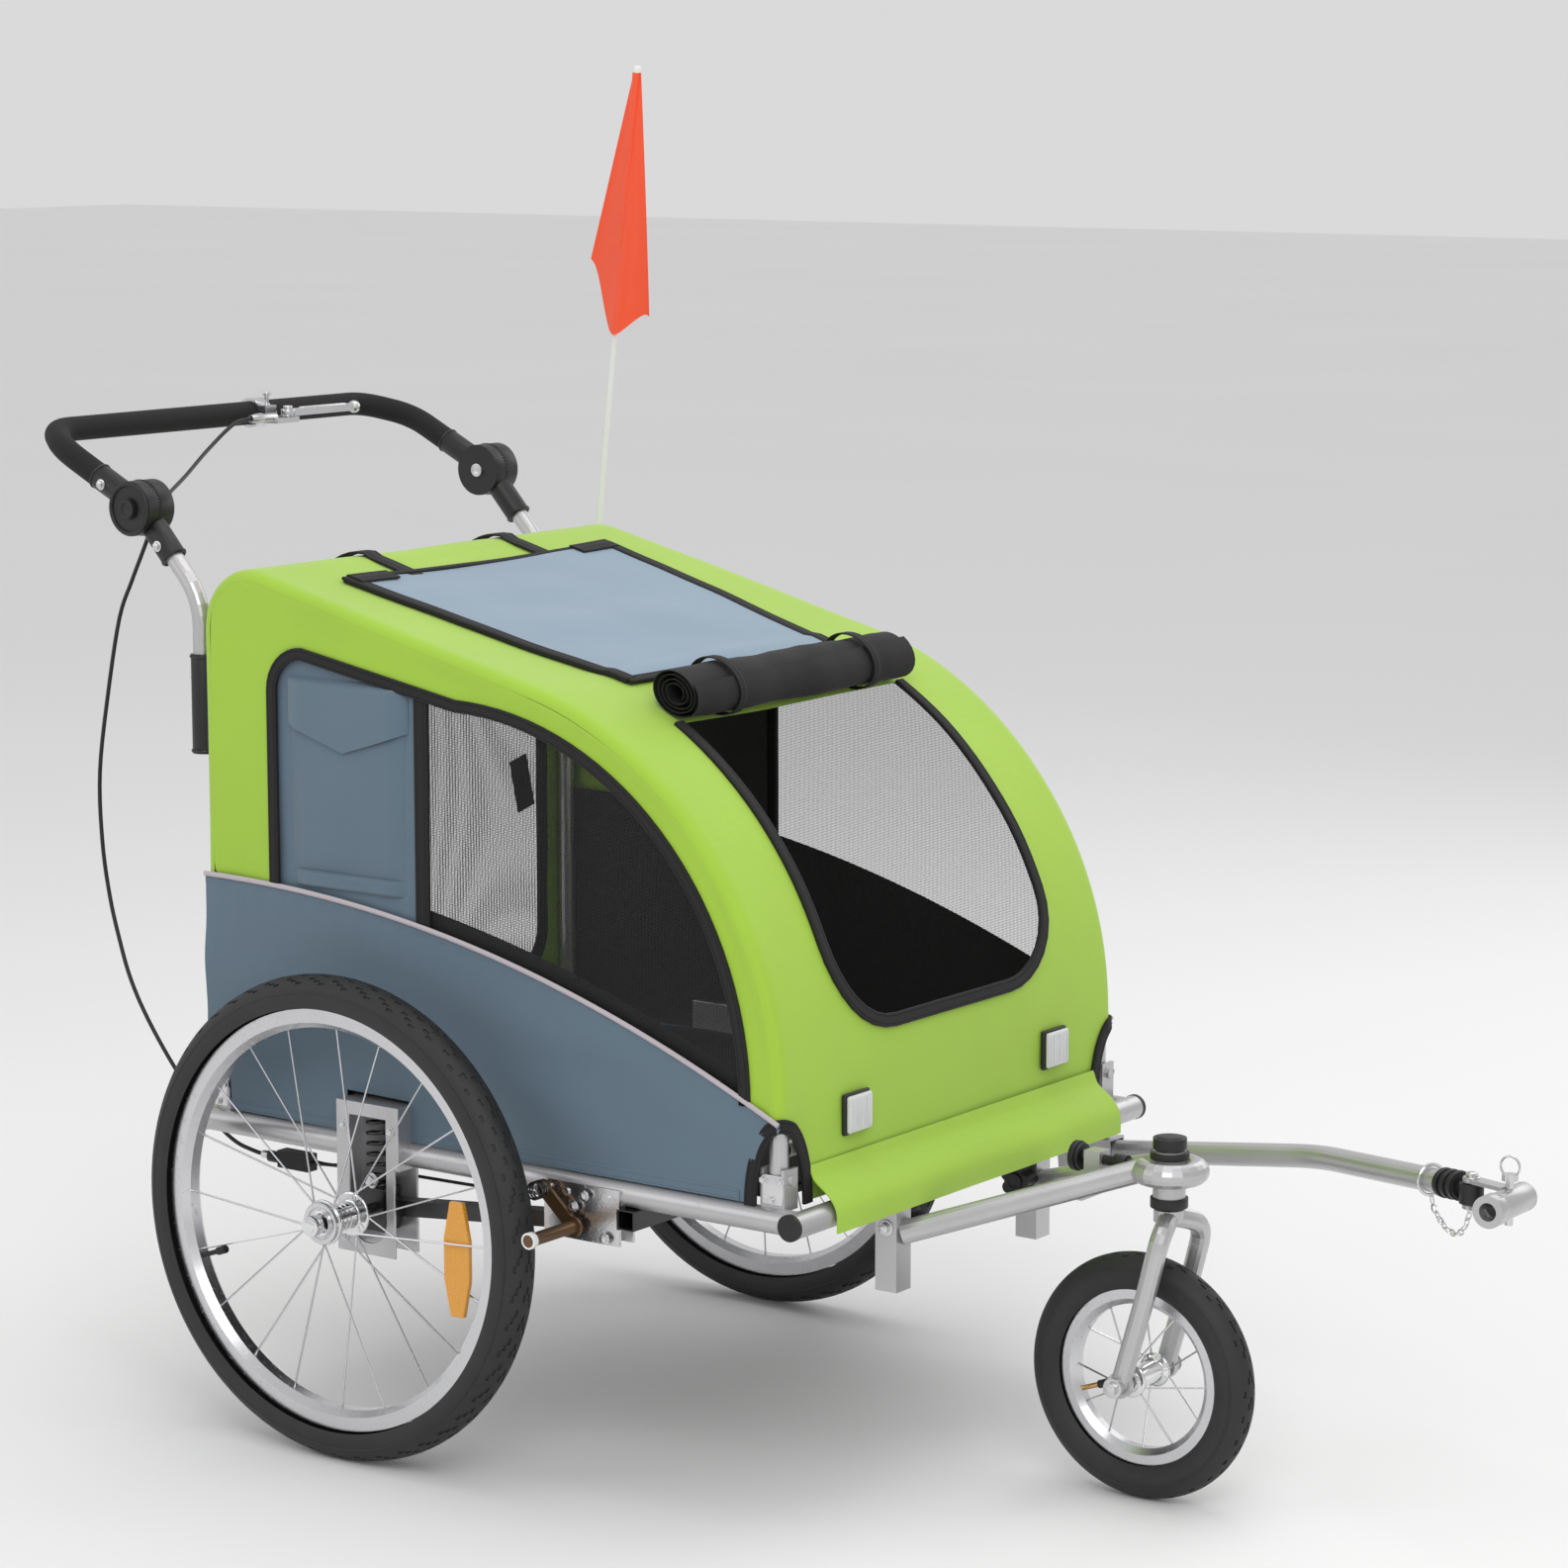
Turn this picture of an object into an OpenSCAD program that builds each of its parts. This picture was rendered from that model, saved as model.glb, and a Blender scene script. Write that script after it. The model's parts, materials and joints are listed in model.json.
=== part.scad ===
// Two-wheeled bicycle trailer with a jogger front wheel, push handle, tow arm and flag.
// +X forward, +Y left, +Z up. The origin is on the ground under the middle of the whole trailer.

/* [Wheels] */
// Distance between the mid-planes of the two rear wheels
track = 728; // [700:2:880]
// Outside diameter of a rear tyre
wheel_d = 495; // [440:1:600]
// Width of a rear tyre
tyre_w = 45; // [36:1:50]
// Outside diameter of the front tyre
front_wheel_d = 246; // [200:1:300]
// Width of the front tyre
front_tyre_w = 40; // [32:1:44]
// Distance from the rear axle to the front axle
wheelbase = 720; // [690:1:880]
// Diameter of the wheel axles
axle_d = 10; // [8:0.5:12]
// Radial gap between a turning part and its shaft
run_gap = 0.05; // [0.02:0.01:0.1]

/* [Frame] */
// Height of the side rails above the ground
rail_z = 305; // [300:1:340]
// Outside diameter of the rails and the cross tubes
rail_d = 25; // [22:0.5:28]
// Wall of every steel tube
tube_wall = 1.5; // [1:0.1:2]
// Distance between the two side rails
rail_span = 590; // [540:2:700]
// Distance from the rear axle back to the rear cross tube
rear_reach = 225; // [200:1:270]
// Distance from the rear axle forward to the front cross tube
front_reach = 518; // [500:1:640]

/* [Cabin] */
// Diameter of the hoop tubes
hoop_d = 19; // [16:0.5:22]
// Height of the top of the cabin at its rear edge
cabin_top_z = 890; // [800:1:1060]
// Radius of the curved front of the cabin
front_r = 400; // [340:1:420]
// Thickness of the cover cloth
cover_t = 2.5; // [1.5:0.1:4]
// Width of the front opening
door_w = 380; // [300:2:420]

/* [Handle] */
// Distance between the two handle tubes
handle_span = 560; // [520:2:620]
// Diameter of the handle tubes
handle_d = 19; // [16:0.5:22]
// Outside diameter of the foam grip
grip_d = 26; // [24:0.5:32]
// Height of the tilt pivot
pivot_z = 935; // [900:1:1050]

/* [Tow arm] */
// Diameter of the tow arm tube
tow_d = 25; // [20:0.5:26]
// Diameter of the hitch pin
hitch_pin_d = 8; // [6:0.5:10]

/* [Flag] */
// Diameter of the flag pole
pole_d = 6; // [5:0.5:8]
// Height of the top of the flag
flag_top_z = 1381; // [1300:1:1600]

/* [Hidden] */
$fn = 48;

// Places along X are counted from the rear axle until the whole is centred over the origin.
coupler_x = wheelbase + 315;
coupler_boot_r = 16;
grip_bar_x = -487;
clamp_wall = 3.5;
axle_x = -(coupler_x + coupler_boot_r + grip_bar_x - grip_d / 2 - clamp_wall) / 2;

// Wheels
wheel_r = wheel_d / 2;
wheel_y = track / 2;
front_r_wheel = front_wheel_d / 2;
axle_r = axle_d / 2;
tyre_wall = 3;
rim_depth = 20;
rim_half_w = 14;
rear_tyre_mid_r = wheel_r - tyre_w / 2;
rear_rim_r = wheel_r - 33;
front_tyre_mid_r = front_r_wheel - front_tyre_w / 2;
front_rim_r = front_r_wheel - 35;
front_rim_half_w = 10;
hub_half = 28;
hub_flange_r = 23;
front_hub_half = 30;
front_flange_r = 17;
spoke_r = 1;
spoke_lean = 16;
spokes_rear = 20;
spokes_front = 12;

// Frame
rail_r = rail_d / 2;
rail_y = rail_span / 2;
bracket_half_x = 41;
bracket_wall = 3;
bracket_in_y = rail_y - 15;
bracket_out_y = rail_y + 23;
bracket_low_z = 200;
bracket_high_z = rail_z + 51;
rail_rear_x = -rear_reach - rail_r;
arm_y = rail_y + 3;
arm_w = 18;
arm_h = 16;
block_half_x = 14;
block_low_z = wheel_r - 24;
block_high_z = wheel_r + 20;
pivot_x = 238;
swing_pivot_z = 270;
pivot_pin_r = 5;
swing_angle = atan2(swing_pivot_z - wheel_r, pivot_x);
spring_r = 15;
spring_wire_r = 2.5;
spring_turns = 7;
spring_high_z = bracket_high_z - bracket_wall - 0.3;
post_x = front_reach - 8;
post_y = 126;
post_w = 19;
post_low_z = 214;
socket_w = 25;
socket_gap = 0.4;
socket_low_z = 204;
socket_high_z = rail_z - rail_r - 0.5;
cross_x = 322;
cross_w = 20;
cross_z = rail_z - rail_r - cross_w / 2 - 0.2;

// Cabin
hoop_r = hoop_d / 2;
hoop_y = rail_y - 11;
hoop_rear_x = -rear_reach + 3;
hoop_front_x = front_reach - 31;
hoop_low_z = rail_z + 17;
skin_gap = 0.4;
skin_offset = hoop_r + skin_gap + cover_t;
skin_front_x = hoop_front_x + skin_offset;
skin_rear_x = hoop_rear_x - skin_offset;
skin_y = hoop_y + skin_offset;
roof_angle = 14;
arc_x = skin_front_x - front_r;
rear_corner_r = 62;
skin_low_z = rail_z + rail_r + 0.6;
// The roof line is tangent to the front arc and meets the rear edge at the cabin's height.
tangent_x = arc_x + front_r * sin(roof_angle);
arc_z = cabin_top_z + 10 - (tangent_x - skin_rear_x) * tan(roof_angle) - front_r * cos(roof_angle);
tangent_z = arc_z + front_r * cos(roof_angle);
window_x = arc_x + 4;
window_r = front_r - 42;
window_z = arc_z + 8;
panel_rear_z = rail_z + 259;
pocket_w = 202;
floor_t = 4;
floor_z = rail_z + rail_r + 1;
pad_t = 12;

// Handle
handle_y = handle_span / 2;
handle_r = handle_d / 2;
grip_r = grip_d / 2;
handle_x = skin_rear_x - 13.5;
sleeve_r = 12;
sleeve_low_z = 686;
sleeve_high_z = 789;
snap_r = 4;
snap_z = sleeve_high_z - 24;
handle_pivot_x = -329;
lower_dir = [36, 0, -40] / norm([36, 0, -40]);
upper_dir = [-54, 0, 27] / norm([-54, 0, 27]);
disc_r = 28.5;
disc_t = 18;
grip_bar_z = pivot_z + 70;
pivot = [handle_pivot_x, 0, pivot_z];
button_r = 11;
lever_y = 66;
lever_reach = 44;
lever_pivot = [grip_bar_x + lever_reach, lever_y + 6];
lever_len = 110;
barrel_r = 4.5;

// Front wheel frame
steer_x = wheelbase + 27;
head_low_z = 306;
head_high_z = 352;
head_r = 16;
loop_r = 12;
loop_ring_r = head_r + loop_r - 1;
loop_z_low = 262;
loop_z_high = 332;
leg_r = 10;

// Brake
brake_x = pivot_x - 10;
brake_z = rail_z - 2;
brake_y = bracket_out_y + 1;
peg_x = wheel_r + 17.5;
peg_z = 270;
peg_r = 6.5;

// Tow arm
tow_y = rail_y + 3;
tow_r = tow_d / 2;
tow_angle = 7;
tow_start = [430, tow_y, 248];
tow_bend = [wheelbase + 25, tow_y, 248 + (wheelbase + 25 - 430) * tan(tow_angle)];
tow_end = [wheelbase + 232, 184, 312];
tow_pin_x = 494;
tow_pin_z = 256;
tow_pin_r = 2.5;
coupler = [coupler_x, 150, 312];
coupler_r = 14.5;
coupler_half = 30;
hinge_point = [wheelbase + 268, 163, 312];
hitch_pin_r = hitch_pin_d / 2;

// Flag
pole_r = pole_d / 2;
pole_lean = 6.5;
pole_low = [-229, skin_y + 7, 520];
pole_len = (flag_top_z + 3 - pole_low[2]) / cos(pole_lean);

// Brake cable from the lever down to the splitter under the floor
cable_r = 2.5;
cable_sides = 8;
lever_cable_route = [[-443, 11, 1003], [-444, -15, 999], [-440, -60, 975], [-408, -130, 953],
    [-375, -190, 941], [-354, -225, 933], [-351, -234.8, 926.3]];
frame_cable_route = [[-350, -238, 924], [-352, -243, 910], [-360, -246, 888], [-378, -247, 852],
    [-396, -248, 812], [-413, -250, 732], [-423, -255, 647], [-417, -260, 574],
    [-406, -262, 516], [-391, -264, 470], [-374, -266, 430], [-348, -268, 390],
    [-311, -268, 343], [-272, -268, 305], [-233, -266, 277], [-205, -264, 268],
    [-183, -262, 265]];
right_cable_route = [[-127, -262, 265], [-100, -258, 266], [-60, -256, 268], [0, -255, 270],
    [100, -255, 272], [170, -262, 278], [221, -287, 284]];
left_cable_route = [[-127, -254, 265], [-105, -240, 262], [-80, -180, 260], [-60, -80, 260],
    [-40, 40, 260], [0, 160, 262], [60, 230, 266], [160, 258, 277], [221, 287, 284]];
thin_cable_r = 2;

// ---- helpers ----

// Turns everything drawn for the rear axle's frame into the trailer's own frame.
module place() {
    translate([axle_x, 0, 0]) children();
}

module left_side() {
    mirror([0, 1, 0]) children();
}

module both_sides() {
    children();
    mirror([0, 1, 0]) children();
}

// A cylinder along X, Y or Z whose middle is at p.
module rod(p, r, h, axis = "y") {
    turn = axis == "x" ? [0, 90, 0] : axis == "y" ? [90, 0, 0] : [0, 0, 0];
    translate(p) rotate(turn) cylinder(r = r, h = h, center = true);
}

// A straight cylinder from one point to another.
module strut(a, b, r) {
    d = b - a;
    turn = [0, acos(d[2] / norm(d)), atan2(d[1], d[0])];
    translate(a) rotate(turn) cylinder(r = r, h = norm(d));
}

// A round tube along a straight line, hollow.
module pipe(a, b, r, wall) {
    d = b - a;
    turn = [0, acos(d[2] / norm(d)), atan2(d[1], d[0])];
    translate(a) rotate(turn) difference() {
        cylinder(r = r, h = norm(d));
        translate([0, 0, -1]) cylinder(r = r - wall, h = norm(d) + 2);
    }
}

function unit(v) = v / norm(v);

// A path through the corners, each rounded by a smooth curve that starts `cut` before it.
function rounded(points, cut, steps) = [
    points[0],
    for (i = [1:len(points) - 2])
        let (a = points[i] + unit(points[i - 1] - points[i]) * cut,
             b = points[i] + unit(points[i + 1] - points[i]) * cut)
        for (s = [0:steps])
            let (t = s / steps)
            a * (1 - t) * (1 - t) + points[i] * 2 * t * (1 - t) + b * t * t,
    points[len(points) - 1]
];

function direction(path, i) =
    let (n = len(path))
    i == 0 ? unit(path[1] - path[0])
    : i == n - 1 ? unit(path[n - 1] - path[n - 2])
    : unit(unit(path[i] - path[i - 1]) + unit(path[i + 1] - path[i]));

// Side vectors carried along the path so that the section never twists.
function carry(path, i) =
    i == 0 ? let (d = direction(path, 0), up = abs(d[2]) > 0.9 ? [1, 0, 0] : [0, 0, 1])
        [unit(cross(d, up))]
    : let (before = carry(path, i - 1), last = before[i - 1], d = direction(path, i))
        concat(before, [unit(last - d * (last * d))]);

function ring(path, sides_v, r, sides, first, last) = [
    for (i = [first:last])
        let (d = direction(path, i), u = sides_v[i], v = cross(d, u))
        for (k = [0:sides - 1])
            path[i] + u * r * cos(360 * k / sides) + v * r * sin(360 * k / sides)
];

// A solid round bar swept along a path.
module swept(path, r, sides = 16) {
    n = len(path);
    side = carry(path, n - 1);
    points = ring(path, side, r, sides, 0, n - 1);
    walls = [for (i = [0:n - 2], k = [0:sides - 1])
        [i * sides + k, (i + 1) * sides + k,
         (i + 1) * sides + (k + 1) % sides, i * sides + (k + 1) % sides]];
    start = [[for (k = [0:sides - 1]) k]];
    end = [[for (k = [sides - 1:-1:0]) (n - 1) * sides + k]];
    polyhedron(points, concat(walls, start, end));
}

// A hollow round tube swept along a path, open at both ends.
module swept_pipe(path, r, wall, sides = 16) {
    n = len(path);
    side = carry(path, n - 1);
    inner = n * sides;
    points = concat(ring(path, side, r, sides, 0, n - 1),
        ring(path, side, r - wall, sides, 0, n - 1));
    outside = [for (i = [0:n - 2], k = [0:sides - 1])
        [i * sides + k, (i + 1) * sides + k,
         (i + 1) * sides + (k + 1) % sides, i * sides + (k + 1) % sides]];
    inside = [for (f = outside) [f[3] + inner, f[2] + inner, f[1] + inner, f[0] + inner]];
    start = [for (k = [0:sides - 1]) [k, (k + 1) % sides, (k + 1) % sides + inner, k + inner]];
    last = (n - 1) * sides;
    end = [for (k = [0:sides - 1])
        [last + (k + 1) % sides, last + k, last + k + inner, last + (k + 1) % sides + inner]];
    polyhedron(points, concat(outside, inside, start, end));
}

// ---- frame ----

module rail_pair_side() {
    pipe([rail_rear_x, -rail_y, rail_z], [-bracket_half_x, -rail_y, rail_z], rail_r, tube_wall);
    pipe([bracket_half_x, -rail_y, rail_z], [front_reach, -rail_y, rail_z], rail_r, tube_wall);
}

module front_post() {
    translate([post_x, -post_y, post_low_z])
        linear_extrude(rail_z - rail_r + 4 - post_low_z) difference() {
            square(post_w, center = true);
            square(post_w - 2 * tube_wall, center = true);
        }
}

module tow_receiver() {
    difference() {
        union() {
            translate(tow_start) rotate([0, -tow_angle, 0]) translate([10, 0, 0])
                rotate([90, 0, 90]) linear_extrude(66) square(2 * tow_r + 5, center = true);
            translate([448, tow_y - 1.5, 248 + tow_r + 1])
                cube([46, 3, rail_z - 8 - 248 - tow_r - 1]);
        }
        translate(tow_start) rotate([0, -tow_angle, 0])
            rotate([90, 0, 90]) linear_extrude(90) square(2 * tow_r + 0.2, center = true);
    }
}

module base_frame() {
    color([0.72, 0.71, 0.73]) difference() {
        union() {
            both_sides() rail_pair_side();
            rod([front_reach, 0, rail_z], rail_r, rail_span + rail_d + 0.4);
            rod([-rear_reach, 0, rail_z], rail_r, rail_span - rail_d + 4);
            both_sides() front_post();
            tow_receiver();
        }
        rod([front_reach, 0, rail_z], rail_r - tube_wall, rail_span + rail_d + 2);
        rod([-rear_reach, 0, rail_z], rail_r - tube_wall, rail_span - rail_d + 6);
        rod([tow_pin_x, tow_y, tow_pin_z], tow_pin_r + run_gap, 60);
    }
}

// The square black tube under the rails that ties the two swing-arm pivots together.
module pivot_cross_tube() {
    color([0.08, 0.08, 0.09]) translate([cross_x, 0, cross_z]) rotate([90, 0, 0])
        linear_extrude(rail_span + 30, center = true) difference() {
            square(cross_w, center = true);
            square(cross_w - 2 * tube_wall, center = true);
        }
}

module end_caps() {
    color([0.1, 0.1, 0.11]) both_sides() {
        rod([front_reach, -(rail_y + rail_r + 2.2), rail_z], rail_r + 0.6, 4);
        rod([rail_rear_x - 1.5, -rail_y, rail_z], rail_r + 0.4, 3, "x");
    }
}

// The upright channel that guides the swing arm's block and takes the top of the coil spring.
module spring_bracket() {
    depth = bracket_out_y - bracket_in_y;
    translate([0, -bracket_in_y - depth / 2, 0]) difference() {
        translate([-bracket_half_x, -depth / 2, bracket_low_z])
            cube([2 * bracket_half_x, depth, bracket_high_z - bracket_low_z]);
        translate([-bracket_half_x + bracket_wall, -depth / 2 + bracket_wall, bracket_low_z - 1])
            cube([2 * (bracket_half_x - bracket_wall), depth - 2 * bracket_wall,
                bracket_high_z - bracket_wall - bracket_low_z + 1]);
        rod([0, -depth / 2, bracket_low_z + 36], 24, 3 * bracket_wall);
        translate([-24, -depth / 2 - bracket_wall, bracket_low_z + 36])
            cube([48, 3 * bracket_wall, bracket_high_z - bracket_low_z - 50]);
        translate([bracket_half_x - 2 * bracket_wall, -depth, bracket_low_z - 1])
            cube([3 * bracket_wall, 2 * depth, rail_z - rail_r - 1 - bracket_low_z]);
    }
}

module spring_brackets() {
    color([0.78, 0.78, 0.8]) both_sides() spring_bracket();
}

module pivot_bracket() {
    difference() {
        union() {
            translate([222, -arm_y - arm_w / 2 - 3.5, 255]) cube([93, 3, rail_z + 6 - 255]);
            translate([222, -arm_y + arm_w / 2 + 0.5, 255])
                cube([93, 3, rail_z - rail_r - 255]);
        }
        rod([pivot_x, -arm_y, swing_pivot_z], pivot_pin_r, 60);
        translate([cross_x - cross_w / 2 - 0.2, -arm_y - 30, cross_z - cross_w / 2 - 0.2])
            cube([cross_w + 0.4, 60, cross_w + 0.4]);
    }
    rod([pivot_x, -arm_y, swing_pivot_z], pivot_pin_r, arm_w + 7);
    rod([pivot_x, -arm_y - arm_w / 2 - 5, swing_pivot_z], 8, 3);
    rod([brake_x, -arm_y - arm_w / 2 - 3.5 - 5, brake_z], 4, 10);
    for (x = [250, 300]) rod([x, -arm_y - arm_w / 2 - 4.4, rail_z - 4], 4, 2);
}

module pivot_brackets() {
    color([0.74, 0.73, 0.75]) both_sides() pivot_bracket();
}

module hinge_bracket(x) {
    difference() {
        translate([x - 14, -hoop_y - 11, rail_z + rail_r - 3]) cube([28, 22, 40]);
        translate([x - 10.2, -hoop_y - 12, rail_z + rail_r + 2]) cube([20.4, 24, 40]);
        rod([0, -rail_y, rail_z], rail_r, 4 * front_reach, "x");
        rod([-rear_reach, 0, rail_z], rail_r, 2 * rail_span);
    }
    for (side = [-1, 1])
        rod([x + side * 15.8, -hoop_y, rail_z + rail_r + 26], 5, 3.7, "x");
}

module hinge_brackets() {
    color([0.75, 0.75, 0.77]) both_sides() for (x = [hoop_rear_x, hoop_front_x]) hinge_bracket(x);
}

// ---- cabin ----

// Side outline of the cabin, drawn `inset` inside the outer face of the cover.
module cabin_outline(inset, low_z) {
    r = front_r - inset;
    rear = skin_rear_x + inset;
    corner = rear_corner_r - inset;
    drop = tan(roof_angle);
    roof_at = function(x) tangent_z - inset / cos(roof_angle)
        - (x - tangent_x) * drop;
    turn_x = rear + corner;
    corner_z = roof_at(turn_x) - corner / cos(roof_angle);
    polygon(concat(
        [[skin_front_x - inset, low_z]],
        [for (a = [0:4:90 - roof_angle]) [arc_x + r * cos(a), arc_z + r * sin(a)]],
        [for (a = [90 - roof_angle:11:180]) [turn_x + corner * cos(a), corner_z + corner * sin(a)]],
        [[rear, corner_z], [rear, low_z]]
    ));
}

// Stands a side outline up and gives it width along Y about the middle.
module across(width) {
    rotate([90, 0, 0]) linear_extrude(width, center = true) children();
}

function hoop_path(low_z) =
    let (r = front_r - skin_offset,
         corner = rear_corner_r - skin_offset,
         turn_x = hoop_rear_x + corner,
         roof = tangent_z - skin_offset / cos(roof_angle) - (turn_x - tangent_x) * tan(roof_angle),
         corner_z = roof - corner / cos(roof_angle))
    concat(
        [[hoop_front_x, 0, low_z], [hoop_front_x, 0, arc_z]],
        [for (a = [7:7:90 - roof_angle]) [arc_x + r * cos(a), 0, arc_z + r * sin(a)]],
        [for (a = [90 - roof_angle:17:170]) [turn_x + corner * cos(a), 0, corner_z + corner * sin(a)]],
        [[hoop_rear_x, 0, corner_z - 1], [hoop_rear_x, 0, low_z]]
    );

module cabin_hoops() {
    color([0.7, 0.7, 0.72]) {
        for (side = [-1, 1]) translate([0, side * hoop_y, 0])
            swept_pipe(hoop_path(hoop_low_z), hoop_r, tube_wall, 16);
        for (p = [[hoop_rear_x, rail_z + 45], [hoop_front_x, rail_z + 65]])
            pipe([p[0], -hoop_y + hoop_r + 0.2, p[1]], [p[0], hoop_y - hoop_r - 0.2, p[1]],
                hoop_r - 1, tube_wall);
    }
}

module floor_panel() {
    color([0.12, 0.12, 0.13]) difference() {
        translate([hoop_rear_x + 12, -(hoop_y - hoop_r - 3), floor_z])
            cube([hoop_front_x - hoop_rear_x - 24, 2 * (hoop_y - hoop_r - 3), floor_t]);
        both_sides() translate([-bracket_half_x - 1, -bracket_out_y, floor_z - 1])
            cube([2 * bracket_half_x + 2, bracket_out_y - bracket_in_y + 2, floor_t + 2]);
    }
}

module floor_pad() {
    color([0.1, 0.1, 0.11]) translate([hoop_rear_x + 16, -(bracket_in_y - 8), floor_z + floor_t])
        cube([hoop_front_x - hoop_rear_x - 36, 2 * (bracket_in_y - 8), pad_t]);
}

// Height of the reflective piping above the lower panel, falling towards the front.
function piping_z(x) =
    let (t = max(0, x - skin_rear_x) / (skin_front_x - skin_rear_x),
         low = rail_z + 92)
    panel_rear_z + (low - panel_rear_z) * pow(t, 2.1);

module below_piping(extra = 0) {
    polygon(concat(
        [for (x = [skin_rear_x - 5:40:skin_front_x + 40]) [x, piping_z(x) + extra]],
        [[skin_front_x + 40, 0], [skin_rear_x - 5, 0]]
    ));
}

module window_outline() {
    left = skin_rear_x + 92;
    corner = 45;
    top = window_z + window_r + 36;
    difference() {
        polygon(concat(
            [[window_x + window_r, 0]],
            [for (a = [0:6:90]) [window_x + window_r * cos(a), window_z + window_r * sin(a)]],
            [for (a = [90:15:180]) [left + corner + corner * cos(a), top - corner + corner * sin(a)]],
            [[left, 0]]
        ));
        below_piping();
    }
}

module door_outline() {
    half = door_w / 2;
    low = rail_z + 162;
    r = 90;
    polygon(concat(
        [for (a = [180:15:270]) [-half + r + r * cos(a), low + r + r * sin(a)]],
        [for (a = [270:15:360]) [half - r + r * cos(a), low + r + r * sin(a)]],
        [[half, arc_z + front_r * 0.88], [-half, arc_z + front_r * 0.88]]
    ));
}

// The netted opening in the rear wall.
module rear_outline() {
    half = skin_y - 34;
    r = 60;
    low = rail_z + 60;
    high = cabin_top_z - 100;
    translate([-half + r, low + r]) offset(r = r) square([2 * (half - r), high - low - 2 * r]);
}

// The upper cover: roof, rear wall, front and the sides down to the piping.
module cabin_cover() {
    color([0.64, 0.83, 0.28]) difference() {
        across(2 * skin_y) cabin_outline(0, skin_low_z);
        across(2 * (skin_y - cover_t)) cabin_outline(cover_t, skin_low_z - 10);
        across(2 * skin_y + 4) window_outline();
        translate([skin_front_x - 260, 0, 0]) rotate([90, 0, 90]) linear_extrude(300) door_outline();
        translate([skin_rear_x - 5, 0, 0]) rotate([90, 0, 90]) linear_extrude(10) rear_outline();
        for (side = [-1, 1]) translate([0, side * skin_y, 0])
            across(2 * cover_t + 0.4) below_piping();
        for (side = [-1, 1]) for (x = [hoop_rear_x, hoop_front_x])
            translate([x - 22, side * hoop_y - 17, 0]) cube([44, 34, rail_z + rail_r + 42]);
    }
}

// The grey lower sides, with a notch round each hinge bracket.
module side_panels() {
    color([0.38, 0.46, 0.53]) {
        for (side = [-1, 1]) difference() {
            translate([0, side * (skin_y - cover_t / 2), 0]) across(cover_t) intersection() {
                cabin_outline(0.2, skin_low_z);
                below_piping(-0.3);
            }
            for (x = [hoop_rear_x, hoop_front_x])
                translate([x - 22, side * hoop_y - 17, 0]) cube([44, 34, rail_z + rail_r + 42]);
            translate([-bracket_half_x - 1, side * skin_y - 20, 0])
                cube([2 * bracket_half_x + 2, 40, bracket_high_z + 1]);
        }
        for (side = [-1, 1]) translate([0, side * (skin_y - cover_t - 1.5), 0]) across(1.6)
            intersection() {
                window_outline();
                translate([skin_rear_x + 90, 0]) square([pocket_w, 2000]);
            }
    }
}

module window_mesh() {
    color([0.25, 0.26, 0.27]) for (side = [-1, 1])
        translate([0, side * (skin_y - cover_t - 1.5), 0]) across(1) difference() {
            window_outline();
            translate([skin_rear_x + 90, 0]) square([pocket_w + 0.4, 2000]);
        }
    color([0.25, 0.26, 0.27]) translate([skin_rear_x + 0.7, 0, 0]) rotate([90, 0, 90])
        linear_extrude(1) offset(delta = -0.3) rear_outline();
}

// Puts a flat cloth panel on the roof with its rear edge at x0.
module on_roof(x0, lift) {
    translate([x0, 0, tangent_z - (x0 - tangent_x) * tan(roof_angle)])
        rotate([0, roof_angle, 0]) translate([0, 0, lift]) children();
}

module roof_hatch() {
    color([0.6, 0.7, 0.78]) on_roof(-92, 0.4)
        translate([0, -196, 0]) cube([(tangent_x + 92) / cos(roof_angle), 392, 2]);
}

module door_roll() {
    roll_r = 26;
    a = 63;
    color([0.07, 0.07, 0.08]) {
        translate([arc_x + (front_r + roll_r + 0.6) * cos(a), 0, arc_z + (front_r + roll_r + 0.6) * sin(a)])
            rotate([90, 0, 0]) cylinder(r = roll_r, h = door_w + 6, center = true);
        for (y = [-135, 135]) on_roof(skin_rear_x + rear_corner_r, 0.4)
            translate([0, y - 12, 0])
                cube([(-94 - skin_rear_x - rear_corner_r) / cos(roof_angle), 24, 2]);
    }
}

module front_reflectors() {
    color([0.85, 0.85, 0.86]) for (y = [-177, 177])
        translate([skin_front_x + 0.4, y - 20, rail_z + 66]) cube([9, 40, 38]);
}

// ---- suspension and rear wheels (right-hand side; the left is mirrored) ----

module swing_arm() {
    color([0.08, 0.08, 0.09]) {
        difference() {
            union() {
                translate([-block_half_x, -arm_y - 13, block_low_z])
                    cube([2 * block_half_x, 26, block_high_z - block_low_z]);
                translate([0, -arm_y, wheel_r]) rotate([0, -swing_angle, 0])
                    translate([block_half_x - 4, -arm_w / 2, -arm_h / 2])
                        cube([norm([pivot_x, swing_pivot_z - wheel_r]) - block_half_x, arm_w, arm_h]);
                rod([pivot_x, -arm_y, swing_pivot_z], 11, arm_w);
            }
            rod([pivot_x, -arm_y, swing_pivot_z], pivot_pin_r + run_gap, arm_w + 2);
        }
        rod([0, -(arm_y + 10 + wheel_y + hub_half + 6) / 2, wheel_r], axle_r,
            wheel_y + hub_half + 6 - arm_y - 10);
    }
    color([0.8, 0.8, 0.82]) rod([0, -(wheel_y + hub_half + 8.2), wheel_r], 9, 7);
}

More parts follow.
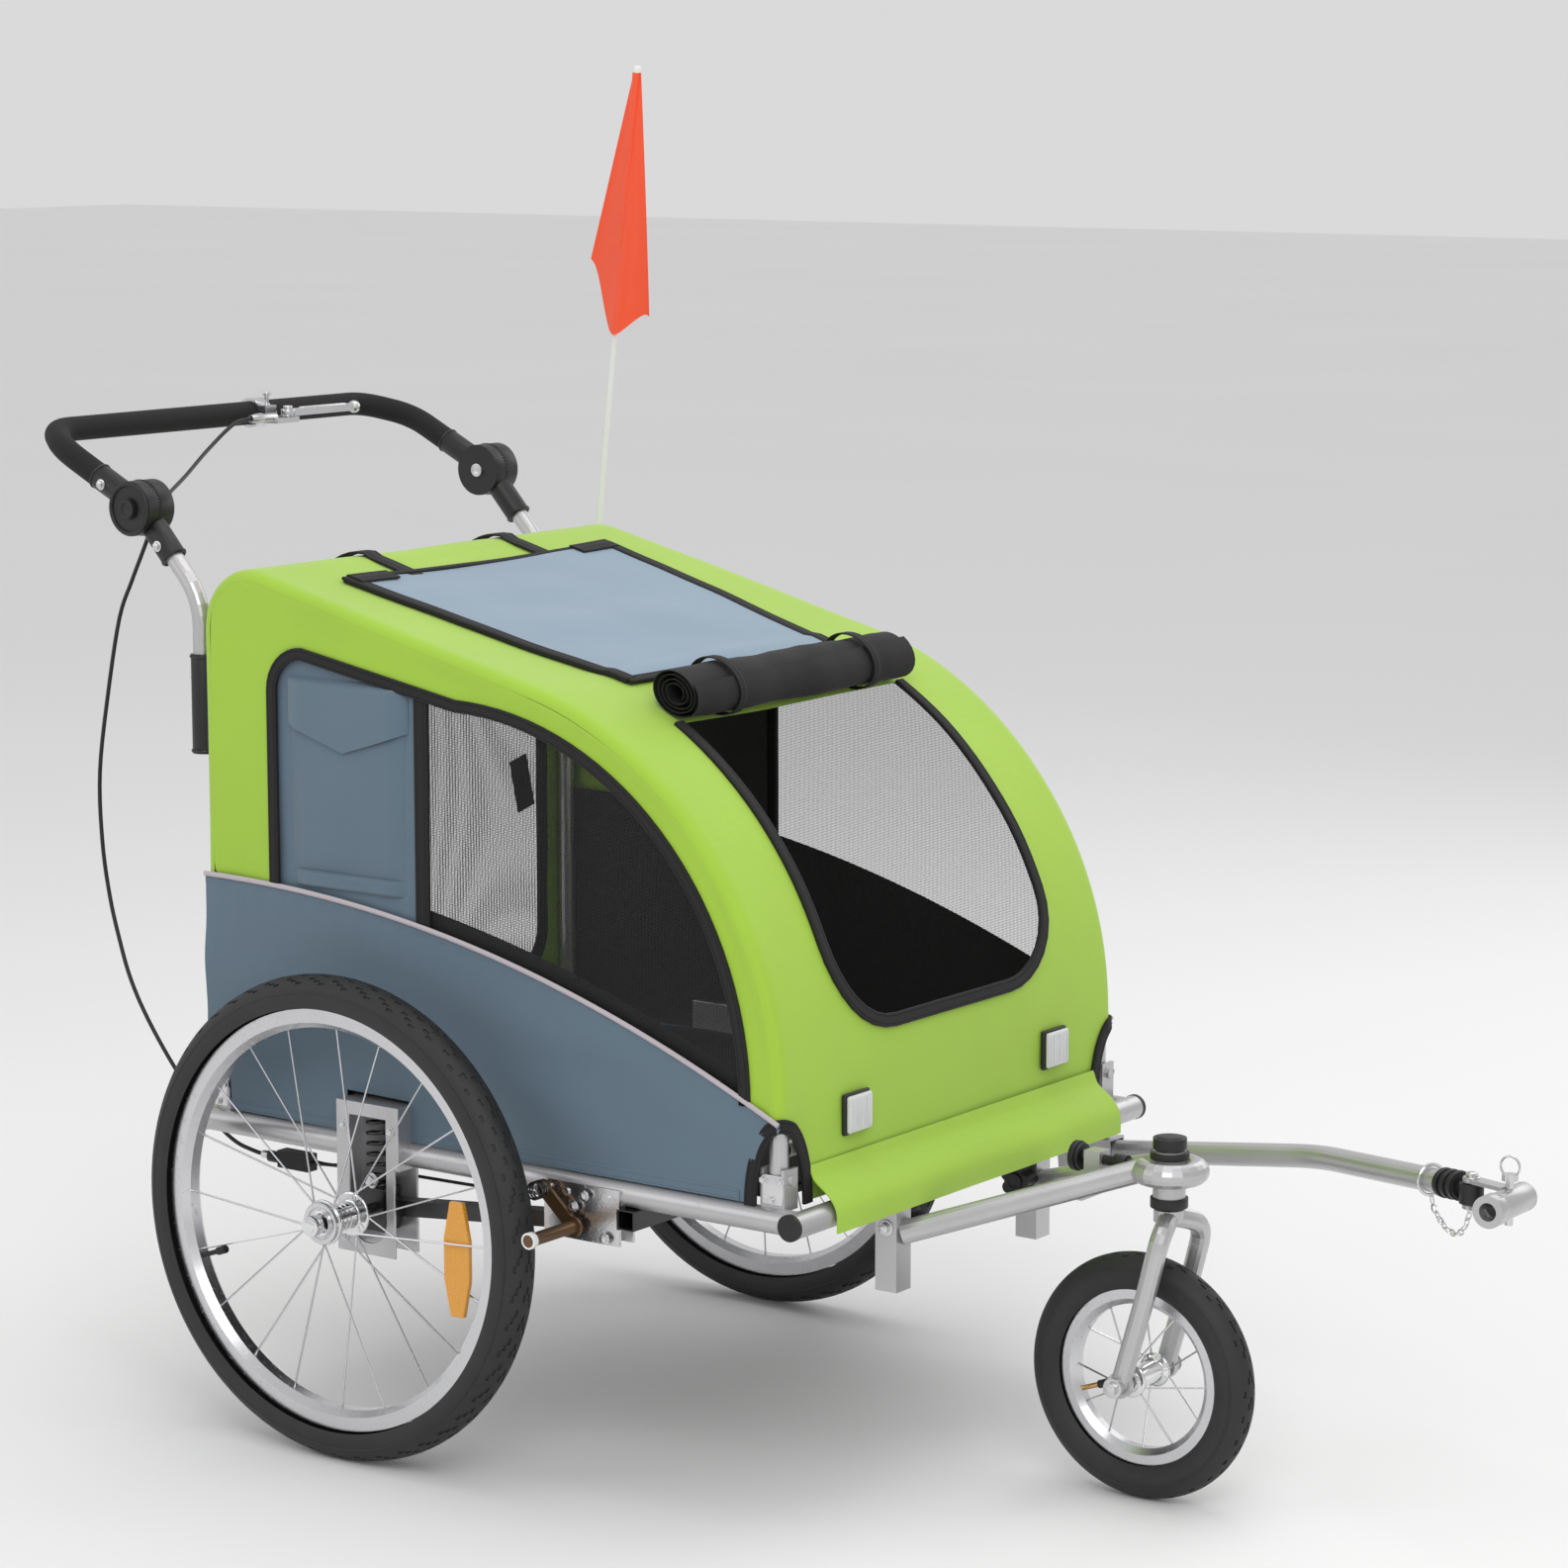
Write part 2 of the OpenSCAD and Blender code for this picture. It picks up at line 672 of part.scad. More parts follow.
module coil_spring() {
    low = block_high_z + 0.3;
    high = spring_high_z;
    steps = 10 * spring_turns;
    path = [for (i = [0:steps]) [
        (spring_r - spring_wire_r) * cos(36 * i),
        -arm_y + (spring_r - spring_wire_r) * sin(36 * i) * 0.92,
        low + spring_wire_r + (high - low - 2 * spring_wire_r) * i / steps]];
    color([0.06, 0.06, 0.07]) swept(path, spring_wire_r, 6);
}

// Tyre section: a round casing open towards the rim.
module tyre(mid_r, width, rim_r, half_rim) {
    rotate([90, 0, 0]) rotate_extrude($fn = 96) difference() {
        translate([mid_r, 0]) circle(r = width / 2);
        translate([mid_r, 0]) circle(r = width / 2 - tyre_wall);
        translate([0, -half_rim - 0.2]) square([rim_r + 0.2, 2 * half_rim + 0.4]);
        square([mid_r - width * 0.48, width], center = false);
        translate([0, -width]) square([mid_r - width * 0.48, width]);
    }
}

module rim(outer_r, half_w, depth, hub_r, hub_half_w, count) {
    rotate([90, 0, 0]) {
        rotate_extrude($fn = 96) polygon([
            [outer_r - depth, -half_w * 0.45], [outer_r - depth + 6, -half_w], [outer_r, -half_w],
            [outer_r, -half_w + 2], [outer_r - 8, -half_w + 2.5], [outer_r - depth + 3, -2],
            [outer_r - depth + 3, 2], [outer_r - 8, half_w - 2.5], [outer_r, half_w - 2],
            [outer_r, half_w], [outer_r - depth + 6, half_w], [outer_r - depth, half_w * 0.45]]);
        for (i = [0:count - 1]) {
            a = 360 * i / count;
            foot = a - (floor(i / 2) % 2 == 0 ? 1 : -1) * spoke_lean;
            side = i % 2 == 0 ? 1 : -1;
            strut([(hub_r + 0.3) * cos(foot), (hub_r + 0.3) * sin(foot), side * hub_half_w],
                [(outer_r - depth + 1) * cos(a), (outer_r - depth + 1) * sin(a), side * 2],
                spoke_r, $fn = 6);
        }
    }
}

module hub(half_w, flange_r, core_r, bore_r) {
    rotate([90, 0, 0]) rotate_extrude($fn = 64) polygon([
        [bore_r, -half_w], [core_r, -half_w], [core_r, -half_w + 5], [flange_r, -half_w + 6],
        [flange_r, -half_w + 8.5], [core_r, -half_w + 11], [core_r, half_w - 11],
        [flange_r, half_w - 8.5], [flange_r, half_w - 6], [core_r, half_w - 5],
        [core_r, half_w], [bore_r, half_w]]);
}

module rear_wheel_place() {
    translate([0, -wheel_y, wheel_r]) children();
}

module rear_tyre() {
    color([0.09, 0.09, 0.1]) rear_wheel_place()
        tyre(rear_tyre_mid_r, tyre_w, rear_rim_r, rim_half_w);
}

module rear_rim() {
    color([0.8, 0.8, 0.82]) rear_wheel_place()
        rim(rear_rim_r, rim_half_w, rim_depth, hub_flange_r, hub_half - 7.2, spokes_rear);
}

module rear_hub() {
    color([0.85, 0.85, 0.87]) rear_wheel_place()
        hub(hub_half, hub_flange_r, 13, axle_r + run_gap);
}

// Upright amber reflector clipped between the spokes, waisted in the middle.
module wheel_reflector() {
    color([0.98, 0.65, 0.1]) rear_wheel_place()
        translate([rear_rim_r - rim_depth - 38.5, 0, -18]) rotate([90, 0, 0])
            linear_extrude(5, center = true) polygon([[-8, -58], [8, -58], [16, -20], [16, 20],
                [8, 58], [-8, 58], [-16, 20], [-16, -20]]);
}

// ---- front wheel ----

module front_wheel_place() {
    translate([wheelbase, 0, front_r_wheel]) children();
}

module front_tyre() {
    color([0.09, 0.09, 0.1]) front_wheel_place()
        tyre(front_tyre_mid_r, front_tyre_w, front_rim_r, front_rim_half_w);
}

module front_rim() {
    color([0.8, 0.8, 0.82]) front_wheel_place()
        rim(front_rim_r, front_rim_half_w, rim_depth - 4, front_flange_r, front_hub_half - 7.2,
            spokes_front);
}

module front_hub() {
    color([0.85, 0.85, 0.87]) front_wheel_place()
        hub(front_hub_half, front_flange_r, 11, axle_r + run_gap);
}

module fork() {
    y = front_hub_half + leg_r + 2;
    crown_z = head_low_z - 22;
    color([0.74, 0.73, 0.75]) {
        rod([steer_x, 0, (crown_z + head_high_z + 4) / 2], 8, head_high_z + 4 - crown_z, "z");
        rod([steer_x, 0, crown_z + 4], head_r - 1, 12, "z");
        for (side = [-1, 1]) {
            swept(rounded([[steer_x + 3, side * 5, crown_z + 2], [steer_x + 15, side * y, crown_z - 10],
                [steer_x + 2, side * y, crown_z - 62], [wheelbase, side * y, front_r_wheel]], 20, 5),
                leg_r, 14);
            rod([wheelbase, side * y, front_r_wheel], 13, 8);
            rod([wheelbase, side * (y + leg_r), front_r_wheel], 9, 9);
        }
        rod([wheelbase, 0, front_r_wheel], axle_r, 2 * y);
    }
}

// ---- front wheel frame ----

function loop_path() =
    let (start = 55)
    concat(
        [[post_x + socket_w / 2 - 2, -post_y, loop_z_low]],
        [for (a = [-90 - start:15:90 + start])
            [steer_x + loop_ring_r * cos(a), loop_ring_r * sin(a), loop_z_high]],
        [[post_x + socket_w / 2 - 2, post_y, loop_z_low]]
    );

module socket(side) {
    translate([post_x, side * post_y, socket_low_z]) linear_extrude(socket_high_z - socket_low_z)
        difference() {
            square(socket_w, center = true);
            square(post_w + 2 * socket_gap, center = true);
        }
}

module front_loop() {
    color([0.74, 0.73, 0.75]) {
        difference() {
            union() {
                difference() {
                    swept(loop_path(), loop_r, 16);
                    rod([steer_x, 0, loop_z_high], head_r - 2, 80, "z");
                    for (side = [-1, 1]) translate([post_x, side * post_y, loop_z_low])
                        cube([socket_w - 2, socket_w, 80], center = true);
                }
                rod([steer_x, 0, (head_low_z + head_high_z) / 2], head_r, head_high_z - head_low_z, "z");
                translate([steer_x - 98, -44, loop_z_high - 32]) cube([26, 88, 4]);
                translate([steer_x - 92, -9, loop_z_high - 33]) cube([18, 18, 42]);
            }
            rod([steer_x, 0, loop_z_high], 8 + run_gap, 80, "z");
            rod([steer_x - 60, 0, loop_z_high], 5 + run_gap, 84, "x");
        }
        for (side = [-1, 1]) difference() {
            socket(side);
            rod([post_x, side * (post_y - socket_w / 2), 268], 4 + run_gap, 9);
        }
    }
}

// Lobed knob on the inner face of a socket, which clamps it to its post.
module frame_knob() {
    color([0.07, 0.07, 0.08]) {
        translate([post_x, -post_y + socket_w / 2 + 14, 268]) rotate([90, 0, 0])
            linear_extrude(18, center = true) {
                circle(r = 12);
                for (i = [0:4]) rotate(72 * i + 7) translate([11, 0]) circle(r = 6.2);
            }
    }
    color([0.8, 0.8, 0.82]) rod([post_x, -post_y + socket_w / 2 + 2.5, 268], 4, 8);
}

module swivel_lock() {
    color([0.07, 0.07, 0.08]) {
        rod([steer_x - 58, 0, loop_z_high], 5, 80, "x");
        rod([steer_x - 102, 0, loop_z_high], 13, 9, "x");
        rod([steer_x - 54, 0, loop_z_high], 8, 14, "x");
    }
}

// ---- handle ----

module handle_sleeves() {
    color([0.07, 0.07, 0.08]) {
        both_sides() difference() {
            union() {
                rod([handle_x, -handle_y, (sleeve_low_z + sleeve_high_z) / 2], sleeve_r,
                    sleeve_high_z - sleeve_low_z, "z");
                translate([handle_x, -handle_y - 7, sleeve_low_z])
                    cube([skin_rear_x - handle_x - 0.3, 14, sleeve_high_z - sleeve_low_z]);
            }
            rod([handle_x, -handle_y, sleeve_low_z + 60], handle_r + run_gap, 240, "z");
            rod([handle_x - 10, -handle_y, snap_z], snap_r + 0.3, 20, "x");
            translate([handle_x - 20, -handle_y - snap_r - 0.3, snap_z])
                cube([20, 2 * snap_r + 0.6, 30]);
        }
        translate(pole_low) rotate([0, pole_lean, 0]) difference() {
            translate([0, 0, -4]) cylinder(r = pole_r + 3, h = 124);
            cylinder(r = pole_r + run_gap, h = 140);
        }
        difference() {
            translate([pole_low[0] - 5, skin_y + 0.1, pole_low[2] + 16]) cube([22, 7, 70]);
            translate(pole_low) rotate([0, pole_lean, 0]) cylinder(r = pole_r + 2.9, h = 140);
        }
    }
}

module handle_tubes() {
    color([0.74, 0.73, 0.75]) for (side = [-1, 1]) {
        difference() {
            pipe([handle_x, side * handle_y, sleeve_low_z + 4], [handle_x, side * handle_y, 806],
                handle_r, tube_wall);
            rod([handle_x - handle_r, side * handle_y, snap_z], snap_r + run_gap, 12, "x");
        }
        swept_pipe(rounded([[handle_x, side * handle_y, 806], [handle_x, side * handle_y, 846],
            [handle_pivot_x, side * handle_y, pivot_z] + lower_dir * 38], 30, 5),
            handle_r, tube_wall, 20);
    }
}

module snap_button() {
    color([0.85, 0.85, 0.87])
        rod([handle_x - handle_r, -handle_y, snap_z], snap_r, 9, "x");
}

// One half of the tilt joint: a toothed disc with a sleeve for its tube. `outer` is the outboard half.
module joint_half(dir, outer) {
    lift = outer ? -handle_y - disc_t / 2 - 0.5 : -handle_y + disc_t / 2 + 0.5;
    other = outer ? -handle_y + disc_t / 2 + 0.5 : -handle_y - disc_t / 2 - 0.5;
    p = [handle_pivot_x, -handle_y, pivot_z];
    difference() {
        union() {
            rod([handle_pivot_x, lift, pivot_z], disc_r, disc_t);
            difference() {
                strut(p + dir * 14, p + dir * 66, handle_r + 4);
                rod([handle_pivot_x, other, pivot_z], disc_r + 0.8, disc_t + 1.6);
            }
        }
        strut(p + dir * 37.6, p + dir * 80, handle_r + 0.1);
    }
}

module lower_joints() {
    color([0.06, 0.06, 0.07]) both_sides() {
        difference() {
            joint_half(lower_dir, false);
            rod([handle_pivot_x, -handle_y + disc_t / 2, pivot_z], 6 + run_gap, disc_t + 6);
        }
    }
}

module upper_joints() {
    color([0.06, 0.06, 0.07]) both_sides() {
        difference() {
            joint_half(upper_dir, true);
            rod([handle_pivot_x, -handle_y - disc_t, pivot_z], button_r + run_gap, 14);
        }
        rod([handle_pivot_x, -handle_y + disc_t / 2 + 0.6, pivot_z], 6, disc_t + 3);
    }
}

module tilt_button() {
    color([0.12, 0.12, 0.13])
        rod([handle_pivot_x, -handle_y - disc_t - 0.5, pivot_z], button_r, 6);
}

function bar_path(start) =
    let (p = [handle_pivot_x, 0, pivot_z], a = p + upper_dir * start,
         corner = [grip_bar_x, 0, grip_bar_z], knee = p + upper_dir * 125)
    rounded([a - [0, handle_y, 0], knee - [0, handle_y, 0], corner - [0, handle_y - 34, 0],
        corner + [0, handle_y - 34, 0], knee + [0, handle_y, 0], a + [0, handle_y, 0]], 24, 5);

module handlebar() {
    color([0.74, 0.73, 0.75]) swept_pipe(bar_path(38.2), handle_r, tube_wall, 16);
}

module foam_grip() {
    color([0.05, 0.05, 0.06]) swept_pipe(bar_path(67), grip_r, grip_r - handle_r - 0.2, 20);
}

module lever_clamp() {
    x = lever_pivot[0];
    y = lever_pivot[1];
    z = grip_bar_z;
    front = grip_bar_x + grip_r;
    color([0.76, 0.76, 0.78]) {
        difference() {
            union() {
                rod([grip_bar_x, lever_y, z], grip_r + clamp_wall, 20);
                translate([front, y - 26, z - 9]) cube([x + 8 - front, 36, 6]);
                translate([front, lever_y - 10, z - 9]) cube([12, 18, 18]);
                rod([x, lever_y - 35, z - 2], barrel_r, 40);
            }
            rod([grip_bar_x, lever_y, z], grip_r + 0.2, 40);
            rod([front + 6, lever_y - 1, z + 3], 2.5 + run_gap, 16, "z");
            rod([x, lever_y - 55, z - 2], cable_r + 0.1, 2);
        }
        rod([x, y, z - 1], 3, 14, "z");
    }
}

module brake_lever() {
    x = lever_pivot[0];
    y = lever_pivot[1];
    z = grip_bar_z + 1.5;
    color([0.8, 0.8, 0.82]) {
        difference() {
            union() {
                rod([x, y, z], 8, 8, "z");
                translate([x - 4, y, z - 4]) cube([9, lever_len, 8]);
            }
            rod([x, y, z], 3 + run_gap, 20, "z");
        }
        translate([x + 0.5, y + lever_len, z]) sphere(r = 7, $fn = 32);
    }
}

module lever_lock_pin() {
    color([0.8, 0.8, 0.82]) {
        rod([grip_bar_x + grip_r + 6, lever_y - 1, grip_bar_z + 11], 2.5, 18, "z");
        rod([grip_bar_x + grip_r + 6, lever_y - 1, grip_bar_z + 22], 4.5, 4, "z");
    }
}

module lever_cable() {
    color([0.05, 0.05, 0.06]) swept(rounded(lever_cable_route, 7, 3), cable_r, cable_sides);
}

module brake_cables() {
    color([0.05, 0.05, 0.06]) {
        swept(rounded(frame_cable_route, 5, 3), cable_r, cable_sides);
        swept(rounded(right_cable_route, 12, 3), thin_cable_r, cable_sides);
        swept(rounded(left_cable_route, 12, 3), thin_cable_r, cable_sides);
    }
}

module cable_splitter() {
    color([0.07, 0.07, 0.08]) translate([-183, -262, 265]) rotate([0, 90, 0]) {
        cylinder(r = 6, h = 14);
        translate([-9, -5, 14]) cube([18, 15, 42]);
    }
}

// ---- brake arms ----

module brake_arm() {
    top = [brake_x, -brake_y, brake_z];
    low = [peg_x, -brake_y, peg_z];
    d = low - top;
    color([0.45, 0.33, 0.2]) difference() {
        union() {
            rod(top, 9, 4);
            rod(low, 10, 4);
            translate(top) rotate([0, -atan2(d[2], d[0]), 0]) translate([0, -2, -7])
                cube([norm(d), 4, 14]);
        }
        rod(top, 4 + run_gap, 10);
    }
    color([0.75, 0.75, 0.77]) rod([peg_x, -(brake_y + wheel_y + 20) / 2, peg_z], peg_r,
        wheel_y + 20 - brake_y);
    color([0.9, 0.9, 0.9]) rod([peg_x, -(wheel_y + 22), peg_z], peg_r + 1, 6);
}

// ---- tow arm ----

module tow_arm() {
    color([0.74, 0.73, 0.75]) difference() {
        swept_pipe(concat([tow_start + [16 * cos(tow_angle), 0, 16 * sin(tow_angle)]],
            rounded([tow_start + [90 * cos(tow_angle), 0, 90 * sin(tow_angle)], tow_bend, tow_end],
            34, 6)), tow_r - 0.2, tube_wall, 20);
        rod([tow_pin_x, tow_y, tow_pin_z], tow_pin_r + run_gap, 60);
    }
}

module tow_arm_pin() {
    color([0.8, 0.8, 0.82]) {
        rod([tow_pin_x, tow_y + 1, tow_pin_z], tow_pin_r, 36);
        rod([tow_pin_x, tow_y + 20.5, tow_pin_z], 2 * tow_pin_r, 4);
    }
}

// Rubber plug in the end of the tow arm, carrying the eye of the coupler's swivel.
module flex_joint() {
    d = unit(tow_end - tow_bend);
    color([0.06, 0.06, 0.07]) difference() {
        union() {
            strut(tow_end + d * 0.2, tow_end + d * 26, 13);
            rod(hinge_point, 12, 20, "z");
            strut(tow_end + d * 20, hinge_point, 8);
        }
        rod(hinge_point, 4 + run_gap, 40, "z");
    }
}

module hitch_coupler() {
    d = unit([coupler[0] - hinge_point[0], coupler[1] - hinge_point[1], 0]);
    turn = atan2(d[1], d[0]);
    color([0.76, 0.76, 0.78]) difference() {
        union() {
            rod(coupler, coupler_r, 2 * coupler_half);
            for (z = [-13, 13]) translate(hinge_point + [0, 0, z]) rotate([0, 0, turn]) {
                cylinder(r = 9, h = 4, center = true);
                translate([0, -8, -2]) cube([norm(coupler - hinge_point) - 4, 16, 4]);
            }
            rod(hinge_point, 4, 30, "z");
        }
        rod(coupler, 9, 2 * coupler_half + 2);
        rod(coupler, hitch_pin_r + run_gap, 60, "z");
    }
    color([0.06, 0.06, 0.07]) difference() {
        rod(coupler - [0, coupler_half + 8, 0], coupler_boot_r, 15.6);
        rod(coupler - [0, coupler_half + 8, 0], 9, 20);
    }
}

module hitch_pin() {
    color([0.8, 0.8, 0.82]) {
        rod(coupler + [0, 0, 2], hitch_pin_r, 48, "z");
        rod(coupler + [0, 0, 25], hitch_pin_r + 4, 6, "z");
    }
}

// ---- flag ----

module flag_pole() {
    color([0.95, 0.95, 0.94]) translate(pole_low) rotate([0, pole_lean, 0])
        cylinder(r = pole_r, h = pole_len);
}

module flag() {
    top = pole_len - 4;
    color([1, 0.36, 0.2]) translate(pole_low) rotate([0, pole_lean, 0]) difference() {
        translate([0, 7, 0]) rotate([90, 0, 0]) linear_extrude(14) polygon([
            [-8, top], [10, top], [20, top - 190], [30, top - 268], [8, top - 318], [-12, top - 216],
            [-46, top - 204]]);
        translate([0, 0, top - 340]) cylinder(r = pole_r + 0.2, h = 350);
    }
}

// ---- the nodes ----

place() base_frame();
place() pivot_cross_tube();
place() end_caps();
place() spring_brackets();
place() pivot_brackets();
place() hinge_brackets();
place() cabin_hoops();
place() floor_panel();
place() floor_pad();
place() cabin_cover();
place() side_panels();
place() window_mesh();
place() roof_hatch();
place() door_roll();
place() front_reflectors();
place() handle_sleeves();
place() cable_splitter();
place() brake_cables();
place() swing_arm();  // right_swing_arm
place() left_side() swing_arm();  // left_swing_arm
place() coil_spring();  // right_spring
place() left_side() coil_spring();  // left_spring
place() rear_tyre();  // right_tyre
place() rear_rim();  // right_rim
place() rear_hub();  // right_hub
place() wheel_reflector();  // right_reflector
place() left_side() rear_tyre();  // left_tyre
place() left_side() rear_rim();  // left_rim
place() left_side() rear_hub();  // left_hub
place() left_side() wheel_reflector();  // left_reflector
place() front_tyre();
place() front_rim();
place() front_hub();
place() fork();
place() front_loop();
place() frame_knob();  // right_frame_knob
place() left_side() frame_knob();  // left_frame_knob
place() swivel_lock();
place() handle_tubes();
place() snap_button();  // right_snap_button
place() left_side() snap_button();  // left_snap_button
place() lower_joints();
place() handlebar();
place() upper_joints();
place() foam_grip();
place() tilt_button();  // right_tilt_button
place() left_side() tilt_button();  // left_tilt_button
place() lever_clamp();
place() brake_lever();
place() lever_lock_pin();
place() lever_cable();
place() brake_arm();  // right_brake_arm
place() left_side() brake_arm();  // left_brake_arm
place() tow_arm();
place() tow_arm_pin();
place() flex_joint();
place() hitch_coupler();
place() hitch_pin();
place() flag_pole();
place() flag();
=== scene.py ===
"""Looks of a two-wheeled bicycle trailer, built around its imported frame."""

import json
import logging
import math
from collections.abc import Callable, Sequence
from dataclasses import dataclass, field
from enum import Enum

import bmesh
import bpy
from mathutils import Matrix, Vector, noise


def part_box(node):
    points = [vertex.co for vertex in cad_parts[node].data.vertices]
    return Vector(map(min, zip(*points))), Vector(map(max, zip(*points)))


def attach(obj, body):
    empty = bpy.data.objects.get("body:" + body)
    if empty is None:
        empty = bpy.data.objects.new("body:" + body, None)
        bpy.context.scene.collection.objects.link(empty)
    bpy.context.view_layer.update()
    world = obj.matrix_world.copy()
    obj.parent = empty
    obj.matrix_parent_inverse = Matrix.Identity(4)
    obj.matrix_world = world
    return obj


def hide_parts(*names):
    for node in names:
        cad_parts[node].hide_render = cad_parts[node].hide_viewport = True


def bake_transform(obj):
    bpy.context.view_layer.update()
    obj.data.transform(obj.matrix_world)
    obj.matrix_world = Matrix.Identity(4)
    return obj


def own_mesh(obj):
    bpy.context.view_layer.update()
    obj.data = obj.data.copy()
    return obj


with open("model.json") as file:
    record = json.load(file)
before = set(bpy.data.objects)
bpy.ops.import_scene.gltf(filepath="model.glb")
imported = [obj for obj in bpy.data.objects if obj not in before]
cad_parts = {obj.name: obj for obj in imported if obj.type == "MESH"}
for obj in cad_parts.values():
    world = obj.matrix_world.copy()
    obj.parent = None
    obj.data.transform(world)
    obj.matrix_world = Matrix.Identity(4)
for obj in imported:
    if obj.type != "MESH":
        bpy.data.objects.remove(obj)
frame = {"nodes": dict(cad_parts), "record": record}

log = logging.getLogger("trailer")
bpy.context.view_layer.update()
Colour = tuple[float, float, float]
Point = tuple[float, float, float]


# ---- shader tools ----


class Shade:
    """A shader socket that takes part in Python expressions."""

    def __init__(self, graph: "Graph", socket: bpy.types.NodeSocket) -> None:
        """Args: graph: the material's graph. socket: the output that carries the value."""
        self.graph = graph
        self.socket = socket

    def _math(self, operation: str, first: "Shade | float", second: "Shade | float") -> "Shade":
        """Adds one Math node. Returns: its value."""
        return self.graph.node("ShaderNodeMath", {"operation": operation}, {0: first, 1: second})

    def __add__(self, other: "Shade | float") -> "Shade":
        """Sum."""
        return self._math("ADD", self, other)

    def __radd__(self, other: float) -> "Shade":
        """Sum with a number on the left."""
        return self._math("ADD", other, self)

    def __sub__(self, other: "Shade | float") -> "Shade":
        """Difference."""
        return self._math("SUBTRACT", self, other)

    def __rsub__(self, other: float) -> "Shade":
        """Difference from a number on the left."""
        return self._math("SUBTRACT", other, self)

    def __mul__(self, other: "Shade | float") -> "Shade":
        """Product."""
        return self._math("MULTIPLY", self, other)

    def __rmul__(self, other: float) -> "Shade":
        """Product with a number on the left."""
        return self._math("MULTIPLY", other, self)

    def __truediv__(self, other: "Shade | float") -> "Shade":
        """Quotient."""
        return self._math("DIVIDE", self, other)

    def __gt__(self, other: "Shade | float") -> "Shade":
        """1 where this is the greater, 0 elsewhere."""
        return self._math("GREATER_THAN", self, other)

    def wave(self) -> "Shade":
        """Sine of the value, from -1 to 1."""
        return self.graph.node("ShaderNodeMath", {"operation": "SINE"}, {0: self})

    def size(self) -> "Shade":
        """Value without its sign."""
        return self.graph.node("ShaderNodeMath", {"operation": "ABSOLUTE"}, {0: self})

    def clamp(self) -> "Shade":
        """Value held between 0 and 1."""
        return self.graph.node("ShaderNodeClamp", {}, {0: self})

    def most(self, other: "Shade | float") -> "Shade":
        """The greater of two values."""
        return self._math("MAXIMUM", self, other)


class Graph:
    """The node graph of one material with a Principled shader."""

    def __init__(self, name: str) -> None:
        """Args: name: the material's name."""
        self.material = bpy.data.materials.new(name)
        self.material.use_nodes = True
        self.tree = self.material.node_tree
        self.shader = self.tree.nodes["Principled BSDF"]

    def node(self, kind: str, settings: dict[str, object], inputs: dict[int | str, object],
             output: int | str = 0) -> Shade:
        """Adds a node.

        Args:
            kind: the node's type.
            settings: attributes set first; "stops" holds a colour ramp's (place, colour) pairs.
            inputs: values or Shades by socket.
            output: the socket that is returned.

        Returns:
            The chosen output.
        """
        made = self.tree.nodes.new(kind)
        for key, value in settings.items():
            if key == "stops":
                ramp = made.color_ramp
                while len(ramp.elements) < len(value):
                    ramp.elements.new(0.5)
                for element, (place, colour) in zip(ramp.elements, value):
                    element.position = place
                    element.color = (*colour, 1)
            else:
                setattr(made, key, value)
        for key, value in inputs.items():
            self.feed(made.inputs[key], value)
        return Shade(self, made.outputs[output])

    def feed(self, socket: bpy.types.NodeSocket, value: object) -> None:
        """Links or sets one input socket."""
        if isinstance(value, Shade):
            self.tree.links.new(value.socket, socket)
        elif isinstance(value, tuple) and len(value) == 3 and len(socket.default_value) == 4:
            socket.default_value = (*value, 1)
        else:
            socket.default_value = value

    def set(self, **inputs: object) -> None:
        """Sets the shader's sockets; an underscore in a name stands for a space."""
        for key, value in inputs.items():
            self.feed(self.shader.inputs[key.replace("_", " ")], value)

    def place(self) -> Shade:
        """Object coordinates, which are metres in the trailer's frame."""
        return self.node("ShaderNodeTexCoord", {}, {}, "Object")

    def axis(self, vector: Shade, index: int) -> Shade:
        """One component of a vector."""
        return self.node("ShaderNodeSeparateXYZ", {}, {0: vector}, index)

    def cloud(self, vector: Shade, scale: float, detail: float = 3) -> Shade:
        """Soft noise from 0 to 1."""
        return self.node("ShaderNodeTexNoise", {}, {"Vector": vector, "Scale": scale, "Detail": detail})

    def blend(self, share: Shade, low: Colour, high: Colour) -> Shade:
        """A colour between two."""
        return self.node("ShaderNodeValToRGB", {"stops": [(0, low), (1, high)]}, {0: share.clamp()})

    def bump(self, height: Shade, distance: float, strength: float = 1) -> Shade:
        """A bumped normal from a height."""
        return self.node("ShaderNodeBump", {}, {"Strength": strength, "Distance": distance,
                                                "Height": height})


def scaled(colour: Colour, by: float) -> Colour:
    """A colour made lighter or darker."""
    return tuple(min(1.0, c * by) for c in colour)


# ---- finishes ----


class Weave(Enum):
    """How a cloth is woven."""

    PLAIN = 1
    RIBBED = 2


@dataclass(frozen=True)
class Metal:
    """Painted, plated or polished metal."""

    name: str
    colour: Colour
    roughness: float = 0.3
    metallic: float = 1.0
    coat: float = 0.0
    grain: float = 0.0004

    def material(self) -> bpy.types.Material:
        """Builds the finish: faint clouding, small scuffs and an orange-peel bump."""
        g = Graph(self.name)
        place = g.place()
        stain = g.cloud(place, 14, 5)
        scuff = (g.cloud(place, 160, 6) > 0.63) * 0.12
        g.set(Base_Color=g.blend(stain, scaled(self.colour, 0.9), scaled(self.colour, 1.06)),
              Roughness=(stain * 0.12 + (self.roughness - 0.06) + scuff).clamp(),
              Metallic=self.metallic, Coat_Weight=self.coat, Coat_Roughness=0.15,
              Normal=g.bump(g.cloud(place, 420, 2), self.grain, 0.25))
        return g.material


